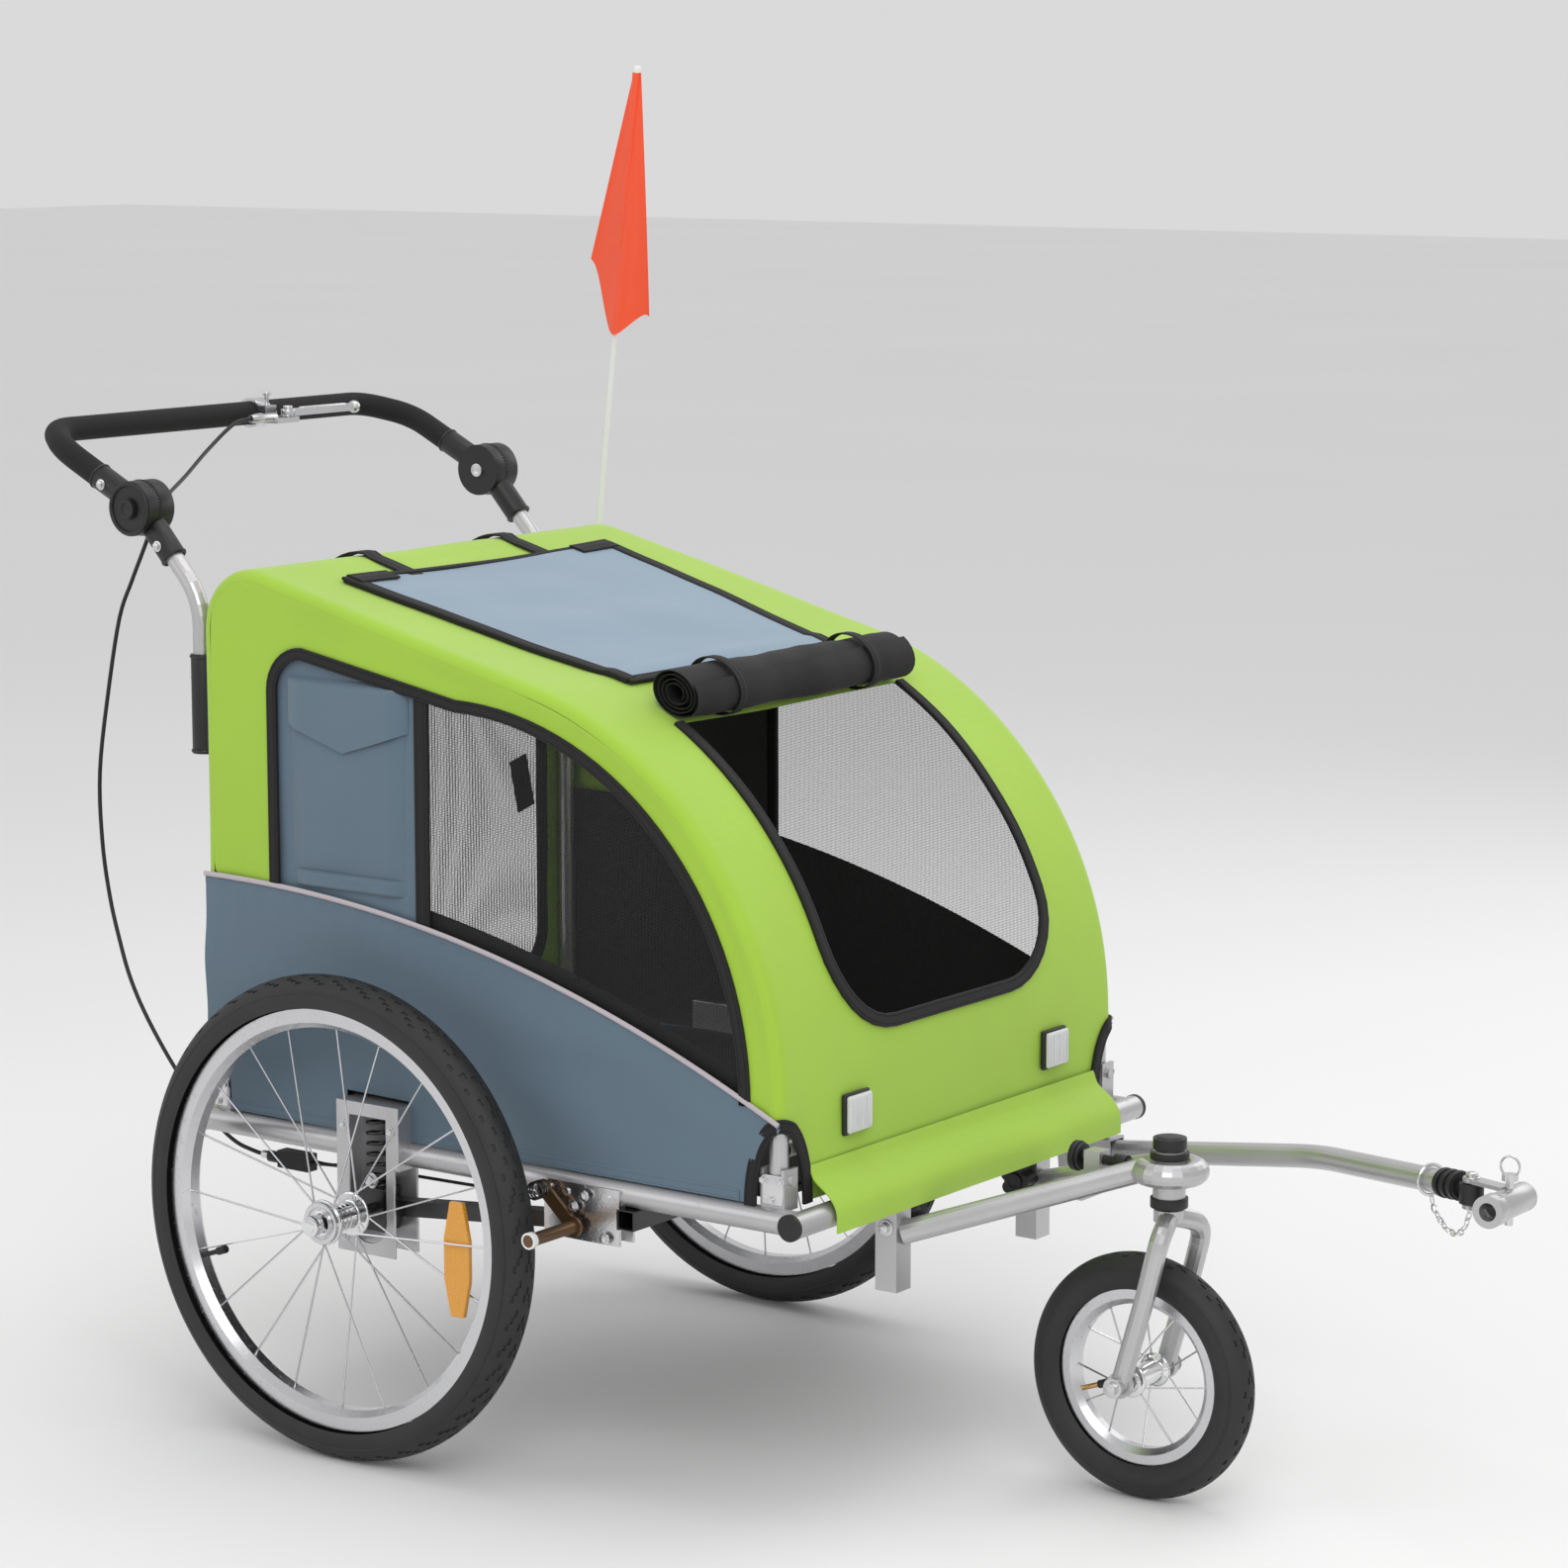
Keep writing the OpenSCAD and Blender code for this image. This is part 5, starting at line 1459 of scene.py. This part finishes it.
@dataclass
class Suspension:
    """Coil springs, hub nuts, peg caps and bolts of one side."""

    plan: Plan
    side: int
    name: str
    wire: float = 0.0018
    turns: int = 9

    def build(self) -> None:
        """Makes the pieces of one side."""
        self.spring()
        self.hub()
        self.bolts()

    def spring(self) -> None:
        """A round-wire coil with closed ends."""
        low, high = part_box(f"{self.name}_spring")
        centre = (low + high) / 2
        radius = (high.x - low.x) / 2 - self.wire
        z0, z1 = low.z + self.wire, high.z - self.wire
        path = []
        steps = self.turns * 18
        for i in range(steps + 1):
            t = i / steps
            ease = min(max((t - 0.09) / 0.82, 0), 1)
            a = 2 * math.pi * self.turns * t
            path.append(Vector((centre.x + radius * math.cos(a), centre.y + radius * math.sin(a) * 0.95,
                                z0 + (z1 - z0) * ease)))
        coil = sweep(path, ring_profile(self.wire, 10))
        settle(coil, f"{self.name}_coil", "black_paint", "chassis", 60)
        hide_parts(f"{self.name}_spring")
        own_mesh(coil)

    def hub(self) -> None:
        """Hub cap rings and the axle's dome nut."""
        low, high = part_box(f"{self.name}_hub")
        centre = (low + high) / 2
        face = low.y if self.side < 0 else high.y
        cap = turned(0.0215, 0.005, (centre.x, face - self.side * 0.0035, centre.z), (0, self.side, 0), 48,
                     0.0016, 0.0055, 0.0015)
        settle(cap, f"{self.name}_hub_cap", "bright_steel", f"{self.name}_wheel")
        for k in range(3):
            y = centre.y + (k - 1) * 0.006
            ring = [Vector((centre.x + 0.0134 * math.cos(a), y, centre.z + 0.0134 * math.sin(a)))
                    for a in (2 * math.pi * i / 40 for i in range(40))]
            settle(sweep(ring, ring_profile(0.0006, 6), True), f"{self.name}_hub_ring_{k + 1}", "chrome",
                   f"{self.name}_wheel")
        button = turned(0.0105, 0.010, (centre.x, face + self.side * 0.0095, centre.z), (0, self.side, 0), 28,
                        0.0024, 0.004, -0.001)
        settle(button, f"{self.name}_axle_button", "chrome", f"{self.name}_suspension")

    def bolts(self) -> None:
        """Bolts and rivets of the spring bracket, the pivot plate and the brake arm."""
        p, s = self.plan, self.side
        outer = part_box("spring_brackets")[1].y
        parts = [bolt(p.at(x, s * outer, z), (0, s, 0), 0.0038, 0.0026)
                 for x, z in ((-0.031, 0.331), (0.031, 0.331), (-0.031, 0.215))]
        settle(join(parts), f"{self.name}_bracket_rivets", "bright_steel", "chassis")
        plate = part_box("pivot_brackets")[1].y - 0.0065
        parts = [bolt(p.at(x, s * plate, z), (0, s, 0), 0.0042, 0.003)
                 for x, z in ((0.262, 0.289), (0.300, 0.262), (0.2750, 0.301))]
        settle(join(parts), f"{self.name}_plate_rivets", "bright_steel", "chassis")
        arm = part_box(f"{self.name}_brake_arm")
        inner = abs(arm[0].y) if s > 0 else abs(arm[1].y)
        pin = bolt(p.at(0.228, s * (inner + 0.0042), 0.303), (0, s, 0), 0.006, 0.004)
        settle(pin, f"{self.name}_brake_bolt", "bright_steel", f"{self.name}_brake")
        block_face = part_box(f"{self.name}_swing_arm")
        low = block_face[0]
        dot = bolt(p.at(0.0, s * 0.311, low.z + 0.052), (0, s, 0), 0.006, 0.004)
        settle(dot, f"{self.name}_block_bolt", "bright_steel", f"{self.name}_suspension")
        start = p.at(0.228, s * (inner + 0.007), 0.303)
        coil = [start + Vector((0.0085 * math.cos(a), s * 0.0012 * a / 2, 0.0085 * math.sin(a)))
                for a in (2 * math.pi * i / 16 for i in range(49))]
        settle(sweep(coil, ring_profile(0.0010, 8)), f"{self.name}_return_spring", "black_paint",
               f"{self.name}_brake")
        tip = arm[0].y if s < 0 else arm[1].y
        cap = turned(0.0082, 0.007, (p.axle_x + 0.265, tip - s * 0.0032, 0.270), (0, s, 0), 28,
                     0.0022, 0.002, 0.001)
        settle(cap, f"{self.name}_peg_cap", "white", f"{self.name}_brake")


# ---- handle ----


@dataclass
class Handle:
    """Foam grip, tilt joints, brake lever details and the brake cable."""

    plan: Plan
    pivot_x: float = -0.329
    pivot_z: float = 0.935
    half: float = 0.280
    bar_x: float = -0.487
    bar_z: float = 1.005
    knee: float = 0.125
    splitter: Point = (-0.183, -0.262, 0.265)
    upper_route: tuple[Point, ...] = (
        (-0.443, 0.011, 1.003), (-0.444, -0.015, 0.999), (-0.440, -0.060, 0.975), (-0.408, -0.130, 0.953),
        (-0.375, -0.190, 0.941), (-0.354, -0.225, 0.933), (-0.350, -0.238, 0.924))
    lower_route: tuple[Point, ...] = (
        (-0.350, -0.238, 0.924), (-0.352, -0.243, 0.910), (-0.360, -0.246, 0.888), (-0.378, -0.247, 0.852),
        (-0.396, -0.248, 0.812), (-0.413, -0.250, 0.732), (-0.423, -0.255, 0.647), (-0.417, -0.260, 0.574),
        (-0.406, -0.262, 0.516), (-0.391, -0.264, 0.470), (-0.374, -0.266, 0.430), (-0.348, -0.268, 0.390),
        (-0.311, -0.268, 0.343), (-0.272, -0.268, 0.305), (-0.233, -0.266, 0.277), (-0.205, -0.264, 0.268),
        (-0.183, -0.262, 0.265))
    right_route: tuple[Point, ...] = (
        (-0.127, -0.262, 0.265), (-0.100, -0.258, 0.266), (-0.060, -0.256, 0.268), (0.0, -0.255, 0.270),
        (0.100, -0.255, 0.272), (0.170, -0.262, 0.278), (0.221, -0.287, 0.284))
    left_route: tuple[Point, ...] = (
        (-0.127, -0.254, 0.265), (-0.105, -0.240, 0.262), (-0.080, -0.180, 0.260), (-0.060, -0.080, 0.260),
        (-0.040, 0.040, 0.260), (0.0, 0.160, 0.262), (0.060, 0.230, 0.266), (0.160, 0.258, 0.277),
        (0.221, 0.287, 0.284))

    def build(self) -> None:
        """Makes the pieces of the handle."""
        self.cables()
        self.grip()
        for side, name in SIDES:
            self.joint(side, name)
            self.sleeve(side, name)
        self.lever()

    def route(self, points: Sequence[Point]) -> list[Vector]:
        """A cable's points in the trailer's frame, on a smooth curve."""
        return spline([self.plan.at(*q) for q in points], 5)

    def cables(self) -> None:
        """The brake cable from the lever to the splitter, and the two thin cables to the brakes."""
        upper, lower = self.route(self.upper_route), self.route(self.lower_route)
        for path, name, bodies, node in (
                (upper, "lever_cable_run", ("handlebar", "handle_frame"), "lever_cable"),
                (lower, "frame_cable_run", ("handle_frame", "chassis"), None)):
            run = sweep(path, ring_profile(0.0022, 10))
            settle(run, name, "cable", "", 60)
            if node:
                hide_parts(node)
                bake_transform(run)
            else:
                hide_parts("brake_cables")
                self.plan.at(-0.400, -0.262, 0.500)
                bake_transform(run)
        for points, name in ((self.right_route, "right_thin_cable"), (self.left_route, "left_thin_cable")):
            settle(sweep(self.route(points), ring_profile(0.0017, 10)), name, "cable", "chassis", 60)
        end = self.plan.at(*self.splitter)
        ferrule = turned(0.0042, 0.012, end - Vector((0.004, 0, -0.001)), (1, 0, 0), 20, 0.0006, 0.001, 0.001)
        settle(ferrule, "cable_ferrule", "bright_steel", "chassis")

    def bar_path(self, start: float) -> list[Vector]:
        """The handlebar's centre line, from a distance along the right arm round to the left arm."""
        pivot = Vector((self.plan.axle_x + self.pivot_x, 0, self.pivot_z))
        d = Vector((-54, 0, 27)).normalized()
        corner = Vector((self.plan.axle_x + self.bar_x, 0, self.bar_z))
        h, c = self.half, 0.034

        def y(value: float) -> Vector:
            """A sideways shift."""
            return Vector((0, value, 0))

        points = [pivot + d * start - y(h), pivot + d * (start + self.knee) / 2 - y(h),
                  pivot + d * (self.knee - 0.02) - y(h),
                  pivot + d * self.knee * 0.85 + (corner - pivot - d * self.knee) * 0.30 - y(h - 0.006),
                  corner - y(h - c - 0.028), corner - y(h - c - 0.060), corner - y(0.10)]
        half = spline([points[0], points[1], points[2]], 6)[:-1]
        a, b, e = pivot + d * (self.knee - 0.024) - y(h), pivot + d * self.knee - y(h), None
        e = b + (corner - y(h - c) - b).normalized() * 0.024
        half = half[:-2] + [a * (1 - t) ** 2 + b * 2 * t * (1 - t) + e * t * t for t in
                            (i / 10 for i in range(11))]
        b2 = corner - y(h - c)
        a2, e2 = b2 + (b - b2).normalized() * 0.024, b2 + Vector((0, 0.024, 0))
        half += [a2 * (1 - t) ** 2 + b2 * 2 * t * (1 - t) + e2 * t * t for t in (i / 10 for i in range(11))]
        half += [corner - y(v) for v in (0.19, 0.15, 0.11, 0.07, 0.035)]
        return half + [Vector((q.x, -q.y, q.z)) for q in reversed(half)]

    def grip(self) -> None:
        """The foam grip, with rolled ends."""
        path = self.bar_path(0.067)
        grip = sweep(path, ring_profile(0.0130, 32))
        modifier(grip, "BEVEL", width=0.0022, segments=3, limit_method="ANGLE",
                 angle_limit=math.radians(60))
        settle(grip, "foam_sleeve", "black_foam", "handlebar", 50)
        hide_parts("foam_grip")

    def joint(self, side: int, name: str) -> None:
        """Rims, teeth line, bolts and button face of one tilt joint."""
        p = self.plan
        x, z = p.axle_x + self.pivot_x, self.pivot_z
        out = side * (self.half + 0.0186)
        button = middle(f"{name}_tilt_button")
        rim = [Vector((x + 0.0255 * math.cos(a), out, z + 0.0255 * math.sin(a)))
               for a in (2 * math.pi * i / 64 for i in range(64))]
        settle(sweep(rim, ring_profile(0.0024, 10), True), f"{name}_joint_rim", "black_plastic", "handlebar")
        face = turned(0.0098, 0.0030, (button.x, button.y + side * 0.0036, button.z), (0, side, 0), 32,
                      0.0008, 0.0030, 0.0010)
        settle(face, f"{name}_button_face", "black_plastic", f"{name}_tilt_button")
        inner = side * (self.half - 0.0186)
        cap = turned(0.0075, 0.003, (x, inner - side * 0.0010, z), (0, -side, 0), 28, 0.0008, 0.0022, 0.0008)
        settle(cap, f"{name}_joint_bolt", "bright_steel", "handle_frame")
        teeth = []
        for i in range(48):
            a = 2 * math.pi * i / 48
            teeth.append(block((x + 0.0282 * math.cos(a) - 0.0011, side * self.half - 0.0022,
                                z + 0.0282 * math.sin(a) - 0.0011),
                               (x + 0.0282 * math.cos(a) + 0.0011, side * self.half + 0.0000,
                                z + 0.0282 * math.sin(a) + 0.0011), 0.0004))
        settle(join(teeth), f"{name}_joint_teeth", "black_plastic", "handle_frame")
        d_up, d_low = Vector((-54, 0, 27)).normalized(), Vector((36, 0, -40)).normalized()
        for direction, body, label in ((d_up, "handlebar", "upper"), (d_low, "handle_frame", "lower")):
            centre = Vector((x, side * self.half, z)) + direction * 0.050
            spot = bolt(centre + Vector((0, side * 0.0131, 0)), (0, side, 0), 0.0042, 0.0026)
            settle(spot, f"{name}_{label}_sleeve_bolt", "bright_steel", body)
            ring_at = Vector((x, side * self.half, z)) + direction * 0.0655
            side_v = Vector((0, 1, 0))
            up = direction.cross(side_v).normalized()
            ring = [ring_at + side_v * 0.0128 * math.cos(a) + up * 0.0128 * math.sin(a)
                    for a in (2 * math.pi * i / 36 for i in range(36))]
            settle(sweep(ring, ring_profile(0.0017, 8), True), f"{name}_{label}_sleeve_lip", "black_plastic",
                   body)

    def sleeve(self, side: int, name: str) -> None:
        """Lips on the socket that holds a handle tube, and its snap button's dome."""
        x = self.plan.rear_x - 0.0135
        for k, z in enumerate((0.6885, 0.7865)):
            ring = [Vector((x + 0.0112 * math.cos(a), side * self.half + 0.0112 * math.sin(a), z))
                    for a in (2 * math.pi * i / 32 for i in range(32)) if not (k and abs(a - math.pi) < 0.45)]
            settle(sweep(ring, ring_profile(0.0022, 8), not k), f"{name}_socket_lip_{k + 1}", "black_plastic",
                   "chassis")
        head = turned(0.0036, 0.0024, middle(f"{name}_snap_button") - Vector((0.0046, 0, 0)), (-1, 0, 0), 20,
                      0.0009, 0.0012, -0.0004)
        settle(head, f"{name}_snap_dome", "bright_steel", f"{name}_snap_button")

    def lever(self) -> None:
        """Details of the brake lever: slot, rivet, barrel knurls and clamp screw."""
        low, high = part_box("brake_lever")
        pin = middle("lever_lock_pin")
        groove = block((low.x + 0.0035, low.y + 0.030, high.z - 0.0052), (low.x + 0.0105, high.y - 0.022,
                                                                         high.z - 0.0018), 0.0012)
        settle(groove, "lever_rib", "bright_steel", "brake_lever")
        rivet = turned(0.0052, 0.003, (low.x + 0.008, low.y + 0.008, high.z - 0.0010), (0, 0, 1), 24, 0.0008,
                       0.0016, 0.0006)
        settle(rivet, "lever_rivet", "chrome", "brake_lever")
        x = self.plan.axle_x - 0.443
        half = 0.0006
        knurls = []
        for i in range(12):
            a = 2 * math.pi * i / 12
            u, v = x + 0.0048 * math.cos(a), 1.003 + 0.0048 * math.sin(a)
            knurls.append(block((u - half, 0.019, v - half), (u + half, 0.029, v + half), 0.0003))
        settle(join(knurls), "barrel_knurls", "bright_steel", "handlebar")
        screw = bolt((pin.x, 0.0745, self.bar_z - 0.0005), (0, 1, 0), 0.0035, 0.003)
        settle(screw, "clamp_screw", "bright_steel", "handlebar")


# ---- front wheel frame, hitch and flag ----


@dataclass
class FrontFrame:
    """Head tube caps, lobed knobs' faces, bolts and reflectors' bases."""

    plan: Plan
    reflector_y: float = 0.177

    def build(self) -> None:
        """Makes the pieces round the front wheel's frame."""
        p = self.plan
        head = p.at(0.747, 0, 0)
        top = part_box("fork")[1].z
        dome = turned(0.0165, 0.011, (head.x, 0, top + 0.0035), (0, 0, 1), 40, 0.0045, 0.004, -0.001)
        settle(dome, "head_cap", "black_plastic", "steering")
        collar = turned(0.0192, 0.007, (head.x, 0, 0.3475), (0, 0, 1), 40, 0.002, 0.002, 0.0)
        settle(collar, "head_upper_cup", "black_plastic", "front_frame")
        cup = turned(0.0185, 0.010, (head.x, 0, 0.3010), (0, 0, -1), 40, 0.0024, 0.002, 0.001)
        settle(cup, "head_lower_cup", "black_plastic", "steering")
        for side, name in SIDES:
            low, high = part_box(f"{name}_frame_knob")
            inner = high.y if side < 0 else low.y
            face = turned(0.0085, 0.003, (middle(f"{name}_frame_knob").x, inner - side * 0.0008,
                                          0.268), (0, -side, 0), 30, 0.0009, 0.002, 0.0008)
            settle(face, f"{name}_knob_cap", "black_plastic", f"{name}_knob")
            nut = bolt(p.at(0.510, side * 0.1385, 0.268), (0, side, 0), 0.0062, 0.005)
            settle(nut, f"{name}_socket_nut", "bright_steel", "front_frame")
            hub_bolt = bolt(p.at(0.720, side * 0.0562, 0.123), (0, side, 0), 0.0075, 0.006)
            settle(hub_bolt, f"{name}_fork_nut", "bright_steel", "steering")
            self.hinge_bolts(side, name)
            self.reflector(side, name)
        low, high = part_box("swivel_lock")
        knob = turned(0.0150, 0.006, (low.x + 0.002, 0, middle("swivel_lock").z), (-1, 0, 0), 36,
                      0.0015, 0.003, 0.001)
        settle(knob, "plunger_face", "black_plastic", "swivel_lock")
        for y in (-0.030, 0.030):
            spot = bolt(p.at(0.660, y, 0.304), (0, 0, 1), 0.0045, 0.003)
            settle(spot, f"plate_bolt_{'right' if y < 0 else 'left'}", "bright_steel", "front_frame")

    def hinge_bolts(self, side: int, name: str) -> None:
        """Bolts and the leaf of the folding hinge at each foot of a hoop."""
        p = self.plan
        for k, x in enumerate((-0.222, 0.487)):
            parts = [bolt(p.at(x + dx, side * 0.2952, z), (0, side, 0), 0.0034, 0.0024)
                     for dx, z in ((-0.010, 0.3435), (0.010, 0.3435), (0.0, 0.3245))]
            leaf = block(p.at(x - 0.0125, side * 0.2945 - 0.0014, 0.3195),
                         p.at(x + 0.0125, side * 0.2945 + 0.0014, 0.3490), 0.001)
            settle(join([leaf] + parts), f"{name}_hinge_leaf_{k + 1}", "bright_steel", "chassis")

    def reflector(self, side: int, name: str) -> None:
        """Front reflector: ribbed lens over a black base."""
        low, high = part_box("front_reflectors")
        y = side * self.reflector_y
        z = (low.z + high.z) / 2
        base = block((low.x - 0.0012, y - 0.0215, z - 0.0205),
                     (low.x + 0.0035, y + 0.0215, z + 0.0205), 0.002)
        settle(base, f"{name}_reflector_base", "black_plastic", "chassis")
        lens = block((low.x + 0.0030, y - 0.0195, z - 0.0185),
                     (high.x - 0.0008, y + 0.0195, z + 0.0185), 0.003)
        ribs = [block((high.x - 0.0020, y - 0.016 + 0.0064 * i - 0.0012, z - 0.015),
                      (high.x, y - 0.016 + 0.0064 * i + 0.0012, z + 0.015), 0.0008) for i in range(6)]
        settle(join([lens] + ribs), f"{name}_reflector_lens", "clear", "chassis")
        if side < 0:
            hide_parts("front_reflectors")


@dataclass
class Hitch:
    """Rubber joint's bands, chain and clips of the tow arm."""

    plan: Plan

    def build(self) -> None:
        """Makes the pieces at the end of the tow arm."""
        p = self.plan
        end, eye = p.at(0.952, 0.184, 0.312), p.at(0.988, 0.163, 0.312)
        bend = p.at(0.745, 0.298, 0.2867)
        d = (end - bend).normalized()
        up = Vector((0, 0, 1))
        side = d.cross(up).normalized()
        for k, along in enumerate((-0.004, 0.008, 0.020)):
            centre = end + d * along
            r = 0.0134
            ring = [centre + side * r * math.cos(a) + up * r * math.sin(a)
                    for a in (2 * math.pi * i / 36 for i in range(36))]
            settle(sweep(ring, band_profile(0.007, 0.003), True,
                         [(q - centre).normalized() for q in ring]), f"joint_band_{k + 1}", "black_plastic",
                   "chassis")
        nut = bolt(eye + Vector((0, 0, 0.015)), (0, 0, 1), 0.0062, 0.004)
        settle(nut, "swivel_nut", "bright_steel", "hitch_coupler")
        pad = bolt(p.at(0.494, 0.2975 - 0.0155, 0.256), (0, -1, 0), 0.004, 0.002)
        settle(pad, "arm_pin_clip", "bright_steel", "chassis")
        self.chain(end - d * 0.030, d, side)
        coupler = middle("hitch_pin")
        ring = [Vector((coupler.x + 0.010 * math.cos(a), coupler.y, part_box("hitch_pin")[1].z + 0.0075
                        + 0.010 * math.sin(a))) for a in (2 * math.pi * i / 32 for i in range(32))]
        settle(sweep(ring, ring_profile(0.0012, 8), True), "hitch_pin_ring", "bright_steel", "hitch_pin")

    def chain(self, start: Vector, d: Vector, side: Vector) -> None:
        """A short safety chain that hangs in a bow under the joint, with a ring."""
        points = [start - Vector((0, 0, 0.0135)), start + d * 0.008 - Vector((0, 0, 0.030)),
                  start + d * 0.030 - Vector((0, 0, 0.046)), start + d * 0.052 - Vector((0, 0, 0.047)),
                  start + d * 0.066 - Vector((0, 0, 0.030)), start + d * 0.066 - Vector((0, 0, 0.0135))]
        line = spline(points, 12)
        links = []
        pitch, gone, last = 0.0068, 0.0, line[0]
        count = 0
        for a, b in zip(line, line[1:]):
            gone += (b - a).length
            if gone < pitch:
                continue
            gone = 0.0
            t = (b - last).normalized()
            last = b
            across = side if count % 2 else t.cross(side).normalized()
            centre = b
            loop = []
            for i in range(20):
                w = 2 * math.pi * i / 20
                loop.append(centre + t * 0.0050 * math.cos(w) + across * 0.0028 * math.sin(w))
            links.append(sweep(loop, ring_profile(0.0008, 6), True))
            count += 1
        settle(join(links), "safety_chain", "bright_steel", "chassis")
        ring = [start + side * 0.0152 * math.cos(a) + Vector((0, 0, 0.0152)) * math.sin(a)
                for a in (2 * math.pi * i / 40 for i in range(40))]
        settle(sweep(ring, ring_profile(0.0018, 8), True), "chain_ring", "bright_steel", "chassis")


@dataclass
class Flag:
    """Safety flag: a pennant that hangs in folds from its pole."""

    plan: Plan
    foot: Point = (-0.229, 0.3034, 0.520)
    lean: float = math.radians(6.5)

    def build(self) -> None:
        """Makes the cloth and the pole's end cap."""
        foot = self.plan.at(*self.foot)
        up = Vector((math.sin(self.lean), 0, math.cos(self.lean)))
        length = (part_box("flag_pole")[1].z - foot.z) / up.z
        verts = []
        rows, columns = 46, 30
        top = length - 0.006
        for r in range(rows + 1):
            u = r / rows
            for c in range(columns + 1):
                v = c / columns
                drop = 0.206 * u + v * u * 0.062 + 0.050 * u * math.sin(math.pi * v) ** 2
                spread = -0.046 * u + v * (0.078 * u + 0.010)
                fold = math.sin(v * 7.5 + 0.6) * 0.0058 * u + math.sin(v * 14 + u * 2) * 0.0015 * u
                centre = foot + up * (top - drop)
                verts.append(centre + Vector((spread - 0.004 * (1 - u), fold, -0.0 * v)))
        cloth = from_mesh(verts, grid_faces(rows + 1, columns + 1))
        modifier(cloth, "SOLIDIFY", thickness=0.0006, offset=0)
        settle(cloth, "pennant", "orange", "flag", 70)
        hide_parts("flag")
        sleeve = [foot + up * (top - 0.190 * i / 12) for i in range(13)]
        hem = sweep(sleeve, ring_profile(0.0046, 14))
        settle(hem, "pennant_sleeve", "orange", "flag")
        tip = turned(0.0042, 0.008, foot + up * (length - 0.003), up, 16, 0.0012, 0.001, -0.0005)
        settle(tip, "pole_tip", "white", "flag")


# ---- carried-over CAD pieces ----


@dataclass
class CadFinish:
    """Materials and softened edges for the CAD nodes that stay visible."""

    rounded: tuple[str, ...] = (
        "lever_clamp", "brake_lever", "lever_lock_pin", "upper_joints", "lower_joints", "handle_sleeves",
        "spring_brackets", "hinge_brackets", "right_brake_arm", "left_brake_arm",
        "right_swing_arm", "left_swing_arm", "hitch_coupler", "flex_joint", "right_frame_knob",
        "left_frame_knob", "swivel_lock", "cable_splitter", "pivot_cross_tube", "right_reflector",
        "left_reflector", "right_hub", "left_hub", "front_hub")
    smooth: tuple[str, ...] = ("fork", "front_loop", "cabin_hoops", "handle_tubes", "handlebar", "tow_arm",
                               "base_frame", "right_rim", "left_rim", "front_rim", "flag_pole", "hitch_pin",
                               "tow_arm_pin", "end_caps")
    edge: float = 0.0009

    def build(self) -> None:
        """Dresses every CAD node."""
        slots = {s["node"]: s["material_slot"] for s in frame["record"]["subparts"]}
        for name, obj in frame["nodes"].items():
            obj.data.materials.clear()
            obj.data.materials.append(MATERIALS[slots[name]])
            if name in self.rounded:
                self.soften(obj)

    def soften(self, obj: bpy.types.Object) -> None:
        """Adds live modifiers that join the loose triangles and round the sharp edges."""
        weld = obj.modifiers.new("Weld", "WELD")
        weld.merge_threshold = 1e-5
        bevel = obj.modifiers.new("Bevel", "BEVEL")
        bevel.width = self.edge
        bevel.segments = 2
        bevel.limit_method = "ANGLE"
        bevel.angle_limit = math.radians(50)


def main() -> None:
    """Builds the studio and every assembly in order."""
    logging.basicConfig(level=logging.INFO, format="%(message)s")
    plan = Plan()
    assemblies: list[tuple[str, Callable[[], None]]] = [
        ("studio", Studio(plan).build), ("handle", Handle(plan).build), ("CAD finishes", CadFinish().build),
        ("cabin", Cabin(plan, Outline(plan)).build),
        ("right wheel", Wheel("right", "right_wheel", 6, 200).build),
        ("left wheel", Wheel("left", "left_wheel", 6, 200).build),
        ("front wheel", Wheel("front", "front_wheel", 4, 120).build),
        ("right suspension", Suspension(plan, -1, "right").build),
        ("left suspension", Suspension(plan, 1, "left").build),
        ("front frame", FrontFrame(plan).build), ("hitch", Hitch(plan).build), ("flag", Flag(plan).build)]
    for name, build in assemblies:
        build()
        log.info("built the %s", name)


if __name__ == "__main__":
    main()
